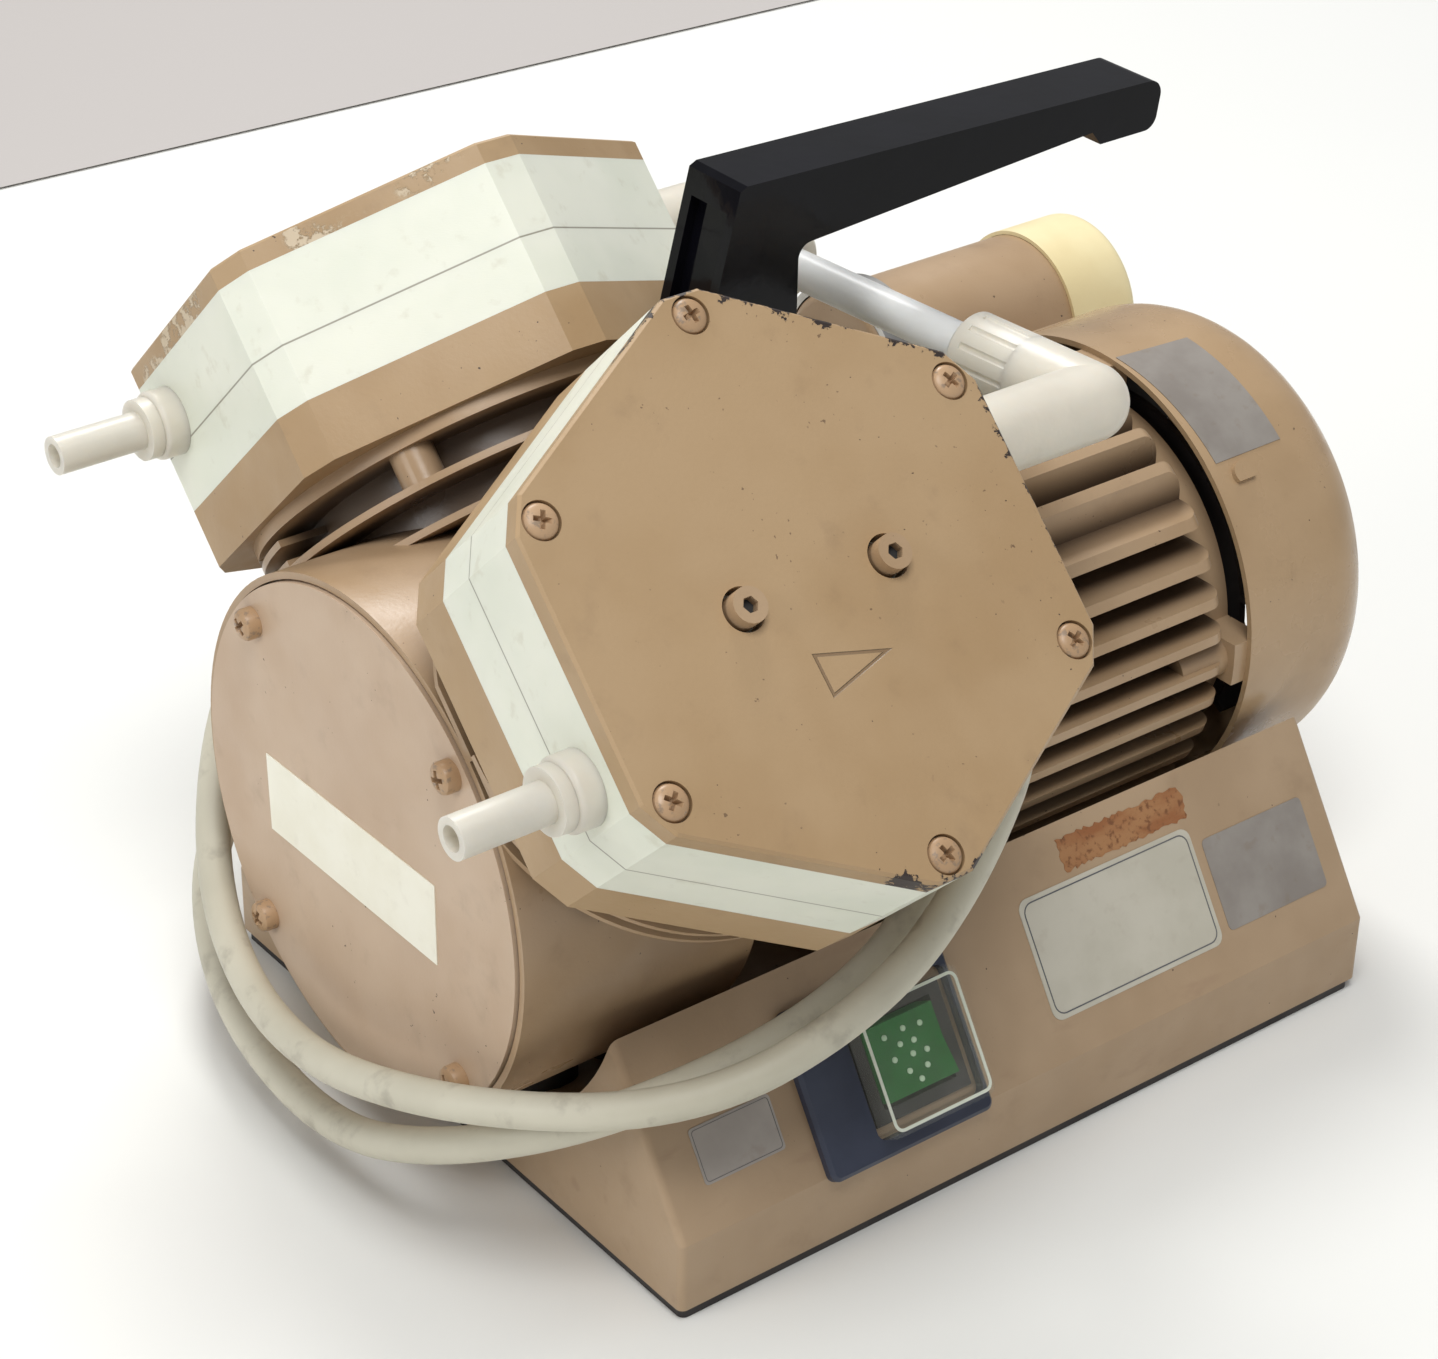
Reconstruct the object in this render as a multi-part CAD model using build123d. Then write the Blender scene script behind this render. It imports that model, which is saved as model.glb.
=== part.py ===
from build123d import *
import math
import os

# Twin-head diaphragm vacuum pump on a console base.
# Frame: millimetres, +Z up, origin on the table under the middle of the base.
# +X runs from the crankcase cover to the fan cover, and -Y is the operator's side.

# Console base
BASE_LENGTH = 228.0
BASE_DEPTH = 198.0
BASE_BAND = 22.8
BASE_RIDGE = 66.0
BASE_RIDGE_OUT = 71.0
BASE_WALL = 3.0
MAT_THICK = 3.4
MAT_INSET = 1.2

# Crank line and V of the two heads
AXIS_HEIGHT = 90.8
HEAD_TILT = 45.0
HEAD_STAGGER = 16.8
HEAD_FROM_LEFT = 35.6

# Crankcase casting, lengths run from the front head's middle
CASE_RADIUS = 68.3
CASE_WALL = 7.3
CASE_LEFT = 57.6
DRUM_RIGHT = 10.6
ADAPTER_RADIUS = 54.0
ADAPTER_BORE = 46.0
CASE_RIGHT = 66.0
COVER_FACE = 58.6
COVER_RADIUS = 66.0
COVER_THICK = 4.0
COVER_GAP = 0.5
GASKET_THICK = 0.6
COVER_SCREW_CIRCLE = 59.9
TROUGH_GAP = 7.0
NECK_RADIUS = 47.0
NECK_BORE = 38.0
NECK_FIN_RADIUS = 60.5
NECK_FIN_THICK = 1.8
NECK_RING = 3.4
OUTER_FINS = (76.0, 70.6, 65.2)
INNER_FINS = (69.0, 58.6)

# Head stack, heights are measured from the crank line
HEAD_FACE = 137.6
PRESSURE_THICK = 5.7
HEAD_PLATE_THICK = 19.7
MIDDLE_PLATE_THICK = 14.5
FLANGE_THICK = 15.5
FLANGE_SCREW_CIRCLE = 53.4
HEAD_FLAT = 62.9
HEAD_CORNER = 69.8
HEAD_SCREW_CIRCLE = 64.4
CENTRE_SCREW_X = 19.9
PORT_OFFSET = 20.4
PORT_DEPTH = 18.6

# Crank drive
THROW = 3.0
SHAFT_RADIUS = 8.0
JOURNAL_RADIUS = 13.0
ROD_BEARING_RADIUS = 21.0
ROD_WIDTH = 12.0
ROD_RING = 27.0
ROD_BAR = 16.0
CLAMP_RADIUS = 24.0
CLAMP_THICK = 3.4
DIAPHRAGM_RADIUS = 47.0
DIAPHRAGM_THICK = 2.4
RUN_GAP = 0.05
SEAT_GAP = 0.1
CLEAR = 1.0

# Motor
MOTOR_RIGHT = 171.0
MOTOR_ROOT = 50.5
MOTOR_BORE = 46.5
MOTOR_FIN_TIP = 62.6
MOTOR_FIN_THICK = 2.6
MOTOR_FIN_PITCH = 9.5
MOTOR_FIN_SIDE = 4
MOTOR_TROUGH = 71.0
ROTOR_RADIUS = 27.0
ROTOR_GAP = 0.5
CORE_LENGTH = 62.0
FAN_RIM = 175.4
FAN_COVER_END = 228.0
FAN_COVER_RADIUS = 64.8
FAN_COVER_WALL = 1.6
FAN_COVER_ROUND = 21.0
FAN_RADIUS = 54.0
FAN_BLADES = 9

# Handle
HANDLE_WIDTH = 19.6
HANDLE_TOP = 237.0
HANDLE_FOOT = 172.0
HANDLE_POST_RIGHT = 64.3
HANDLE_REACH = 181.5
HANDLE_GRIP = 17.5

# Start capacitor
CAP_RADIUS = 24.2
CAP_LEFT = 158.0
CAP_RIM = 226.0
CAP_COVER = 25.0
CAP_Y = 84.6
CAP_Z = 120.4

# Hose fittings
NOZZLE_BORE = 3.0
NOZZLE_STEM = 4.9
NOZZLE_LENGTH = 33.0
FITTING_RADIUS = 9.6
TUBE_RADIUS = 5.0
TUBE_X_FRONT = 104.5
TUBE_X_REAR = 93.0
NUT_LENGTH = 19.0
NUT_END = 31.0

# Mains cord, its plug and where it leaves the rear slope
CORD_RADIUS = 4.5
GLAND_X = 172.0
GLAND_UP = 20.3
GLAND_DEPTH = 7.2
GLAND_LENGTH = 20.0
PLUG_LENGTH = 36.0
PLUG_WIDTH = 26.0
PLUG_HEIGHT = 24.0
CORD_ON_TABLE = 13.0

# Switch
BEZEL_WIDTH = 51.0
BEZEL_HEIGHT = 43.0
BEZEL_THICK = 3.0
SWITCH_X = 33.5
SWITCH_UP = 19.8
COVER_SHIFT = 7.0
ROCKER_WIDTH = 22.0
ROCKER_HEIGHT = 18.4
ROCKER_TILT = 7.0

# Derived places
HEAD_X = -BASE_LENGTH / 2 + HEAD_FROM_LEFT
TILT = math.radians(HEAD_TILT)
PLATE_BACK = HEAD_FACE - PRESSURE_THICK
HEAD_PLATE_BACK = PLATE_BACK - HEAD_PLATE_THICK
FLANGE_FACE = HEAD_PLATE_BACK - MIDDLE_PLATE_THICK
FLANGE_BACK = FLANGE_FACE - FLANGE_THICK
PORT_HEIGHT = HEAD_FACE - PORT_DEPTH
SLOPE_ANGLE = math.degrees(math.atan2(BASE_RIDGE - BASE_BAND, BASE_DEPTH / 2 - BASE_RIDGE_OUT))
CASE_TROUGH = CASE_RADIUS + TROUGH_GAP

nodes = {}


def keep(name, shape):
    # Files one sub-part under its node name.
    nodes[name] = shape


def along_x(radius, start, end, y=0.0, z=AXIS_HEIGHT):
    # A round bar along X, with its ends measured from the front head's middle.
    bar = Cylinder(radius, end - start, align=(Align.CENTER, Align.CENTER, Align.MIN))
    return Plane(origin=(HEAD_X + start, y, z), x_dir=(0, 1, 0), z_dir=(1, 0, 0)) * bar


def head_at(height, across=0.0, up=0.0):
    # A plane on the front head, square to its stroke, at a height from the crank line.
    y = -math.sin(TILT) * height + math.cos(TILT) * up
    z = AXIS_HEIGHT + math.cos(TILT) * height + math.sin(TILT) * up
    return Plane(origin=(HEAD_X + across, y, z), x_dir=(1, 0, 0), z_dir=(0, -math.sin(TILT), math.cos(TILT)))


def head_bar(radius, low, high, across=0.0, up=0.0):
    # A round bar along the front head's stroke, between two heights.
    bar = Cylinder(radius, high - low, align=(Align.CENTER, Align.CENTER, Align.MIN))
    return head_at(low, across, up) * bar


def rear(shape):
    # The rear head is the front head mirrored across the machine and set further along the crank.
    return Pos(HEAD_STAGGER, 0, 0) * mirror(shape, about=Plane.XZ)


def both_heads(name, shape):
    # One node for the front head and one for the rear head.
    keep(name + "_1", shape)
    keep(name + "_2", rear(shape))


def screws_of_both(name, screws):
    # The same fasteners of both heads share one node.
    keep(name, Compound(children=screws + [rear(s) for s in screws]))


def hexagon():
    # Hexagon with its flats to the left and right and its six corners trimmed.
    flats = RegularPolygon(HEAD_FLAT, 6, major_radius=False, rotation=30)
    trims = RegularPolygon(HEAD_CORNER, 6, major_radius=False)
    return flats & trims


def corner_places():
    return PolarLocations(HEAD_SCREW_CIRCLE, 6, start_angle=30)


def hex_plate(low, high):
    return head_at(low) * extrude(hexagon(), amount=high - low)


# Head stack
SCREW_RADIUS = 2.0
SCREW_GRIP = 10.0
SCREW_HEAD_RADIUS = 4.2
SCREW_HEAD_THICK = 2.4
RECESS_RADIUS = 4.6
RECESS_DEPTH = 1.8
FLANGE_HEAD = 3.6
FLANGE_SINK = 3.6
FLANGE_GRIP = 8.0
CENTRE_HOLE = 5.2
CENTRE_HEAD = 4.2
CENTRE_PROUD = 3.2
CENTRE_SHANK = 2.5
VALVE_RADIUS = 33.0
VALVE_THICK = 1.2
DOME_LOW = 37.0
DOME_HIGH = 29.0
DOME_DEPTH = 8.0


def pressure_plate():
    plate = extrude(hexagon(), amount=PRESSURE_THICK)
    plate = chamfer(plate.edges().group_by(Axis.Z)[-1], 0.7)
    for place in corner_places():
        plate -= place * Cylinder(SCREW_RADIUS + 0.2, 3 * PRESSURE_THICK)
        plate -= place * Pos(0, 0, PRESSURE_THICK) * Cylinder(RECESS_RADIUS, 2 * RECESS_DEPTH)
    for side in (-1, 1):
        plate -= Pos(side * CENTRE_SCREW_X, 0, 0) * Cylinder(CENTRE_HOLE, 3 * PRESSURE_THICK)
    return head_at(PLATE_BACK) * plate


def head_flange():
    # Hexagonal flange on the casting's ring, with the diaphragm's seat in its face.
    flange = hex_plate(FLANGE_BACK, FLANGE_FACE)
    flange -= head_bar(NECK_BORE, FLANGE_BACK - 1, FLANGE_FACE + 1)
    flange -= head_bar(DIAPHRAGM_RADIUS + SEAT_GAP, FLANGE_FACE - DIAPHRAGM_THICK, FLANGE_FACE + 1)
    for place in corner_places():
        hole = Cylinder(SCREW_RADIUS + SEAT_GAP, SCREW_GRIP + 0.4, align=(Align.CENTER, Align.CENTER, Align.MAX))
        flange -= head_at(FLANGE_FACE) * place * hole
    for place in flange_places():
        flange -= head_at(FLANGE_BACK) * place * Cylinder(SCREW_RADIUS + 0.2, 3 * FLANGE_THICK)
        flange -= head_at(FLANGE_FACE) * place * Cylinder(FLANGE_HEAD + 0.2, 2 * FLANGE_SINK)
    return flange


def flange_places():
    return PolarLocations(FLANGE_SCREW_CIRCLE, 4, start_angle=45)


def flange_screws():
    # Four sunk screws that hold the flange on the casting, hidden under the white plates.
    seat = FLANGE_FACE - FLANGE_SINK
    tip = FLANGE_BACK - FLANGE_GRIP
    screw = Cylinder(SCREW_RADIUS, seat - tip, align=(Align.CENTER, Align.CENTER, Align.MIN))
    screw += Pos(0, 0, seat - tip) * Cylinder(FLANGE_HEAD, FLANGE_SINK - CLEAR,
                                              align=(Align.CENTER, Align.CENTER, Align.MIN))
    return [head_at(tip) * place * screw for place in flange_places()]


def plate_screws():
    # Six raised-head screws that go down into the flange.
    seat = HEAD_FACE - RECESS_DEPTH
    tip = FLANGE_FACE - SCREW_GRIP
    screw = Pos(0, 0, seat - tip) * Cylinder(
        SCREW_HEAD_RADIUS, SCREW_HEAD_THICK, align=(Align.CENTER, Align.CENTER, Align.MIN))
    screw = fillet(screw.edges().group_by(Axis.Z)[-1], 1.4)
    screw += Cylinder(SCREW_RADIUS, seat - tip, align=(Align.CENTER, Align.CENTER, Align.MIN))
    return [head_at(tip) * place * screw for place in corner_places()]


def centre_screws():
    # Two socket-head screws that stand proud in clearance holes and hold the white plates together.
    screws = []
    for side in (-1, 1):
        across = side * CENTRE_SCREW_X
        screw = head_bar(CENTRE_HEAD, PLATE_BACK, HEAD_FACE + CENTRE_PROUD, across)
        screw += head_bar(CENTRE_SHANK, HEAD_PLATE_BACK + 3 * VALVE_THICK, PLATE_BACK, across)
        socket = head_at(HEAD_FACE + CENTRE_PROUD, across) * extrude(RegularPolygon(2.0, 6), amount=-2.4)
        screws.append(screw - socket)
    return screws


def head_plate():
    # Upper white plate with the two side ports and their valve passages.
    plate = hex_plate(HEAD_PLATE_BACK, PLATE_BACK)
    for place in corner_places():
        plate -= head_at(HEAD_PLATE_BACK) * place * Cylinder(SCREW_RADIUS + 0.2, 3 * HEAD_PLATE_THICK)
    for side in (-1, 1):
        up = side * PORT_OFFSET
        across = side * CENTRE_SCREW_X
        plate -= head_bar(CENTRE_SHANK + SEAT_GAP, HEAD_PLATE_BACK - 1, PLATE_BACK + 1, across)
        reach = HEAD_FLAT / 2
        channel = Plane(origin=head_at(PORT_HEIGHT, side * (HEAD_FLAT + 1), up).origin, z_dir=(-side, 0, 0))
        plate -= channel * Cylinder(NOZZLE_BORE, reach, align=(Align.CENTER, Align.CENTER, Align.MIN))
        spigot = channel * Cylinder(SPIGOT_RADIUS + SEAT_GAP, SPIGOT_LENGTH + 1 + SEAT_GAP,
                                    align=(Align.CENTER, Align.CENTER, Align.MIN))
        plate -= spigot
        plate -= head_bar(NOZZLE_BORE, HEAD_PLATE_BACK - 1, PORT_HEIGHT, side * (HEAD_FLAT / 2 + 2), up)
    plate -= head_bar(VALVE_RADIUS + SEAT_GAP, HEAD_PLATE_BACK - 1, HEAD_PLATE_BACK + VALVE_THICK + SEAT_GAP)
    return plate


def valve_sheet():
    # Thin flexible sheet with one flap over each passage.
    sheet = Cylinder(VALVE_RADIUS, VALVE_THICK, align=(Align.CENTER, Align.CENTER, Align.MIN))
    for side in (-1, 1):
        flap = Pos(side * 14.0, side * 12.0, 0)
        slot = Cylinder(7.0, 4 * VALVE_THICK) - Cylinder(6.2, 4 * VALVE_THICK)
        slot -= Pos(0, side * 7.0, 0) * Box(7.0, 5.0, 5 * VALVE_THICK)
        sheet -= flap * slot
    return head_at(HEAD_PLATE_BACK + SEAT_GAP / 2) * sheet


def middle_plate():
    # Lower white plate, hollowed for the diaphragm's stroke.
    plate = hex_plate(FLANGE_FACE, HEAD_PLATE_BACK)
    for place in corner_places():
        plate -= head_at(FLANGE_FACE) * place * Cylinder(SCREW_RADIUS + 0.2, 3 * MIDDLE_PLATE_THICK)
    dome = Cone(DOME_LOW, DOME_HIGH, DOME_DEPTH, align=(Align.CENTER, Align.CENTER, Align.MIN))
    plate -= head_at(FLANGE_FACE) * dome
    for side in (-1, 1):
        plate -= head_bar(NOZZLE_BORE, FLANGE_FACE, HEAD_PLATE_BACK + 1, side * 14.0, side * 12.0)
    return plate


def diaphragm():
    # Moulded rubber ring; its middle is open so that the clamp disc can orbit.
    inner = CLAMP_RADIUS + THROW + CLEAR
    low = FLANGE_FACE - DIAPHRAGM_THICK
    ring = head_bar(DIAPHRAGM_RADIUS, low + SEAT_GAP, FLANGE_FACE - SEAT_GAP / 2)
    ring -= head_bar(inner, low - 1, FLANGE_FACE + 1)
    bead_middle = (inner + DOME_LOW) / 2
    groove = head_at(low + SEAT_GAP) * Torus(bead_middle, 1.3)
    return ring - groove


# Hose fittings
SPIGOT_RADIUS = 6.0
SPIGOT_LENGTH = 9.0
BOSS_RADIUS = 8.8
COLLAR_RADIUS = 7.8
BOSS_LENGTH = 6.4
COLLAR_LENGTH = 3.4
TIP_LIP = 0.35


def port_plane(side):
    # On the side face of the front head, at a port, pointing away from the head.
    spot = head_at(PORT_HEIGHT, side * HEAD_FLAT, side * PORT_OFFSET).origin
    return Plane(origin=spot, x_dir=(0, 1, 0), z_dir=(side, 0, 0))


def stub(radius, low, high):
    return Pos(0, 0, low) * Cylinder(radius, high - low, align=(Align.CENTER, Align.CENTER, Align.MIN))


def hose_nozzle():
    nozzle = stub(SPIGOT_RADIUS, -SPIGOT_LENGTH, 0)
    boss = stub(BOSS_RADIUS, 0, BOSS_LENGTH)
    nozzle += fillet(boss.edges().group_by(Axis.Z)[-1], 1.5)
    nozzle += stub(COLLAR_RADIUS, BOSS_LENGTH, BOSS_LENGTH + COLLAR_LENGTH)
    nozzle += stub(NOZZLE_STEM, BOSS_LENGTH + COLLAR_LENGTH, NOZZLE_LENGTH)
    nozzle -= stub(NOZZLE_BORE, -SPIGOT_LENGTH - 1, NOZZLE_LENGTH + 1)
    return port_plane(-1) * nozzle


def tube_ends():
    # Crank-side ends of the connecting tube, at the two union nuts.
    spot = head_at(PORT_HEIGHT, 0, PORT_OFFSET).origin
    front = Vector(HEAD_X + TUBE_X_FRONT, spot.Y, spot.Z)
    back = Vector(HEAD_X + TUBE_X_REAR, -spot.Y, spot.Z)
    return front, back


def fitting_elbow(corner, far, face_x):
    # Moulded elbow: a bar out of the head that ends round, and a branch towards the other head.
    main = Plane(origin=(face_x, corner.Y, corner.Z), z_dir=(1, 0, 0))
    elbow = main * stub(FITTING_RADIUS, 0, corner.X - face_x)
    elbow += main * stub(SPIGOT_RADIUS, -SPIGOT_LENGTH, 0)
    elbow += Pos(corner.X, corner.Y, corner.Z) * Sphere(FITTING_RADIUS)
    branch = Plane(origin=corner, z_dir=far - corner)
    elbow += branch * stub(FITTING_RADIUS, 0, NUT_START)
    elbow -= main * stub(NOZZLE_BORE, -SPIGOT_LENGTH - 1, corner.X - face_x)
    elbow -= branch * stub(NOZZLE_BORE, 0, NUT_START + 1)
    return elbow


def union_nut(corner, far):
    # Ribbed nut that grips the tube end.
    nut = stub(FITTING_RADIUS, NUT_START, NUT_STOP)
    nut = chamfer(nut.edges().group_by(Axis.Z)[-1], 1.2)
    for place in PolarLocations(FITTING_RADIUS + 0.5, 12):
        nut -= place * Pos(0, 0, NUT_START) * Cylinder(1.0, 2 * NUT_LENGTH - 8)
    nut -= stub(TUBE_RADIUS + SEAT_GAP, NUT_START - 1, NUT_STOP + 1)
    return Plane(origin=corner, z_dir=far - corner) * nut


def connecting_tube(front, back):
    length = (back - front).length
    line = Plane(origin=front, z_dir=back - front)
    tube = stub(TUBE_RADIUS, NUT_START, length - NUT_START)
    tube -= stub(TUBE_RADIUS - 1.2, NUT_START - 1, length)
    return line * tube


HALF_SPAN = math.sin(TILT) * PORT_HEIGHT - math.cos(TILT) * PORT_OFFSET
NUT_STOP = HALF_SPAN - NUT_END
NUT_START = NUT_STOP - NUT_LENGTH


def build_heads():
    both_heads("pressure_plate", pressure_plate())
    both_heads("head_plate", head_plate())
    both_heads("valve_sheet", valve_sheet())
    both_heads("middle_plate", middle_plate())
    both_heads("diaphragm", diaphragm())
    both_heads("hose_nozzle", hose_nozzle())
    both_heads("head_flange", head_flange())
    screws_of_both("plate_screws", plate_screws())
    screws_of_both("centre_screws", centre_screws())
    screws_of_both("flange_screws", flange_screws())
    front, back = tube_ends()
    keep("elbow_1", fitting_elbow(front, back, HEAD_X + HEAD_FLAT))
    keep("elbow_2", fitting_elbow(back, front, HEAD_X + HEAD_STAGGER + HEAD_FLAT))
    keep("union_nut_1", union_nut(front, back))
    keep("union_nut_2", union_nut(back, front))
    keep("connecting_tube", connecting_tube(front, back))


# Crankcase
COVER_SCREW_RADIUS = 2.0
COVER_SCREW_HEAD = 4.0
COVER_SCREW_HEIGHT = 4.2
COVER_IN = COVER_FACE - COVER_THICK - GASKET_THICK
CASE_BORE = CASE_RADIUS - CASE_WALL
BEARING_RADIUS = 20.0
BEARING_WIDTH = 12.0
BEARING_LEFT = 44.0
BEARING_WALL = 6.0
FLANGE_BOSS = 5.6
FOOT_X = (-21.0, 2.0)
FOOT_Y = 24.0
MOTOR_FOOT_X = 128.0
BUFFER_RADIUS = 8.0
BOLT_RADIUS = 2.5
BOLT_HEAD = 4.6
BOLT_GRIP = 8.0


def cover_places():
    # Four cover screws, at forty-five degrees round the crank line.
    spots = []
    for quarter in range(4):
        turn = math.radians(45 + 90 * quarter)
        spots.append((COVER_SCREW_CIRCLE * math.cos(turn), COVER_SCREW_CIRCLE * math.sin(turn)))
    return spots


def half_fin(height, side):
    # Thin half-round cooling fin on the upper or lower side of the front neck.
    disc = Cylinder(NECK_FIN_RADIUS, NECK_FIN_THICK)
    half = Pos(0, side * NECK_FIN_RADIUS, 0) * Box(3 * NECK_FIN_RADIUS, 2 * NECK_FIN_RADIUS, 2 * NECK_FIN_THICK)
    return head_at(height) * (disc & half)


def neck():
    # Neck of the front head: a drum with its ring, thin cooling fins and screw bosses.
    drum = head_bar(NECK_RADIUS, 0, FLANGE_BACK)
    drum += head_bar(NECK_FIN_RADIUS, FLANGE_BACK - NECK_RING, FLANGE_BACK)
    for height in OUTER_FINS:
        drum += half_fin(height, -1)
    for height in INNER_FINS:
        drum += half_fin(height, 1)
    for place in flange_places():
        boss = Cylinder(FLANGE_BOSS, FLANGE_GRIP + 4, align=(Align.CENTER, Align.CENTER, Align.MAX))
        drum += head_at(FLANGE_BACK) * place * boss
    return drum


def neck_hollow():
    # What is cut out of a neck: the rod's bore and the holes of the flange screws.
    hollow = head_bar(NECK_BORE, 0, FLANGE_BACK + 1)
    hollow -= along_x(BEARING_RADIUS + BEARING_WALL, BEARING_LEFT - BEARING_WALL, CASE_RIGHT + 1)
    for place in flange_places():
        hole = Cylinder(SCREW_RADIUS + SEAT_GAP, FLANGE_GRIP + 0.4, align=(Align.CENTER, Align.CENTER, Align.MAX))
        hollow += head_at(FLANGE_BACK) * place * hole
    return hollow


def handle_room():
    # Space that the necks leave free for the handle's post.
    low = HANDLE_FOOT
    high = HANDLE_TOP
    width = HANDLE_WIDTH + 2 * CLEAR
    left = HANDLE_POST_LEFT - CLEAR
    right = HANDLE_POST_RIGHT + CLEAR
    return Pos(HEAD_X + (left + right) / 2, 0, (low + high) / 2) * Box(right - left, width, high - low)


def handle_pad():
    # Pad on top of the case that the handle's post is screwed down on.
    left = HANDLE_POST_LEFT
    right = HANDLE_POST_RIGHT
    low = AXIS_HEIGHT + ADAPTER_BORE + 2
    middle = (HEAD_X + (left + right) / 2, 0, (low + HANDLE_FOOT) / 2)
    return Pos(*middle) * Box(right - left, HANDLE_WIDTH, HANDLE_FOOT - low)


def crankcase():
    case = along_x(CASE_RADIUS, -CASE_LEFT, DRUM_RIGHT)
    case += along_x(ADAPTER_RADIUS, DRUM_RIGHT, CASE_RIGHT)
    front_neck = neck()
    case += front_neck
    case += rear(front_neck)
    case -= along_x(CASE_RADIUS + 7, -CASE_LEFT - 9, -CASE_LEFT)
    case += handle_pad()
    case -= handle_room()
    hollow = neck_hollow()
    case -= hollow
    case -= rear_hollow()
    case -= along_x(CASE_BORE, -CASE_LEFT - 1, DRUM_RIGHT - BEARING_WALL)
    case -= along_x(ADAPTER_BORE, 0, BEARING_LEFT - BEARING_WALL)
    for y, z in cover_places():
        case += along_x(5.0, -COVER_IN, -COVER_IN + 14.0, y, AXIS_HEIGHT + z)
        case -= along_x(COVER_SCREW_RADIUS + SEAT_GAP, -COVER_IN - 1, -COVER_IN + 10.0, y, AXIS_HEIGHT + z)
    case -= along_x(COVER_RADIUS + COVER_GAP, -CASE_LEFT - 1, -COVER_IN)
    case -= along_x(BEARING_RADIUS + SEAT_GAP / 5, BEARING_LEFT, CASE_RIGHT + 1)
    case -= along_x(SHAFT_RADIUS + CLEAR, 0, CASE_RIGHT + 1)
    for x in FOOT_X:
        for y in (-FOOT_Y, FOOT_Y):
            case -= bolt_hole(x, y, CASE_RADIUS)
    for x in HANDLE_SCREW_X:
        case -= Pos(HEAD_X + x, 0, HANDLE_FOOT) * Cylinder(
            HANDLE_SCREW + SEAT_GAP, 12.4, align=(Align.CENTER, Align.CENTER, Align.MAX))
    return case


def rear_hollow():
    # The rear neck's bore, which stops short of the bearing wall.
    hollow = rear(neck_hollow())
    return hollow - along_x(BEARING_RADIUS + BEARING_WALL, BEARING_LEFT - BEARING_WALL, CASE_RIGHT + 1)


def bottom_at(y, radius):
    # Height of the underside of a round body about the crank line.
    return AXIS_HEIGHT - math.sqrt(radius ** 2 - y ** 2)


def bolt_hole(x, y, radius):
    # Hole for a mounting bolt, up into the underside of the case or motor.
    low = bottom_at(y, radius)
    reach = BOLT_GRIP + SEAT_GAP
    return Pos(HEAD_X + x, y, low - 4) * Cylinder(
        BOLT_RADIUS + SEAT_GAP, reach + 4, align=(Align.CENTER, Align.CENTER, Align.MIN))


def crankcase_cover():
    cover = along_x(COVER_RADIUS, -COVER_FACE, -COVER_FACE + COVER_THICK)
    for y, z in cover_places():
        cover -= along_x(COVER_SCREW_RADIUS + 0.2, -COVER_FACE - 1, -COVER_FACE + 9, y, AXIS_HEIGHT + z)
    return cover


def cover_gasket():
    ring = along_x(COVER_RADIUS, -COVER_IN - GASKET_THICK, -COVER_IN)
    ring -= along_x(CASE_BORE, -COVER_FACE, -COVER_IN + 1)
    for y, z in cover_places():
        ring += along_x(4.8, -COVER_IN - GASKET_THICK, -COVER_IN, y, AXIS_HEIGHT + z)
        ring -= along_x(COVER_SCREW_RADIUS + 0.2, -COVER_FACE, -COVER_IN + 1, y, AXIS_HEIGHT + z)
    return ring


def cover_screws():
    # Domed screws that stand proud of the cover.
    screws = []
    for y, z in cover_places():
        head = along_x(COVER_SCREW_HEAD, -COVER_FACE - COVER_SCREW_HEIGHT, -COVER_FACE, y, AXIS_HEIGHT + z)
        head = fillet(head.edges().group_by(Axis.X)[0], 2.0)
        head += along_x(COVER_SCREW_RADIUS, -COVER_FACE, -COVER_IN + 9.0, y, AXIS_HEIGHT + z)
        screws.append(head)
    return screws


# Crank drive
WEIGHT_THICK = 8.0
WEIGHT_RADIUS = 33.0
JOURNAL_LEFT = -ROD_WIDTH / 2 - 1.0
JOURNAL_RIGHT = HEAD_STAGGER + ROD_WIDTH / 2 + 1.0
SHAFT_LEFT = JOURNAL_LEFT - WEIGHT_THICK - 4.0
SHAFT_RIGHT = 206.0
FAN_LEFT = 186.0
FAN_WIDTH = 17.0


def shaft():
    return chamfer(along_x(SHAFT_RADIUS, SHAFT_LEFT, SHAFT_RIGHT).edges().filter_by(GeomType.CIRCLE), 1.0)


def counterweight(start):
    # Half-round weight opposite the throw.
    disc = along_x(WEIGHT_RADIUS, start, start + WEIGHT_THICK)
    top = Pos(HEAD_X + start, 0, AXIS_HEIGHT + WEIGHT_RADIUS + 4) * Box(
        3 * WEIGHT_THICK, 3 * WEIGHT_RADIUS, 2 * WEIGHT_RADIUS)
    return disc - top + along_x(JOURNAL_RADIUS + 2, start, start + WEIGHT_THICK)


def eccentric():
    # Throw that carries both rods side by side, between two counterweights.
    throw = along_x(JOURNAL_RADIUS, JOURNAL_LEFT, JOURNAL_RIGHT, 0, AXIS_HEIGHT + THROW)
    throw += counterweight(JOURNAL_LEFT - WEIGHT_THICK)
    throw += counterweight(JOURNAL_RIGHT)
    return throw - along_x(SHAFT_RADIUS, SHAFT_LEFT - 1, SHAFT_RIGHT)


def rod_turned(shape):
    # Moves a piece that is built about the crank line to the throw's middle.
    return Pos(0, 0, THROW) * shape


def rod_bearing():
    ring = along_x(ROD_BEARING_RADIUS - RUN_GAP, -ROD_WIDTH / 2, ROD_WIDTH / 2)
    ring -= along_x(JOURNAL_RADIUS + RUN_GAP, -ROD_WIDTH, ROD_WIDTH)
    return rod_turned(ring)


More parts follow.
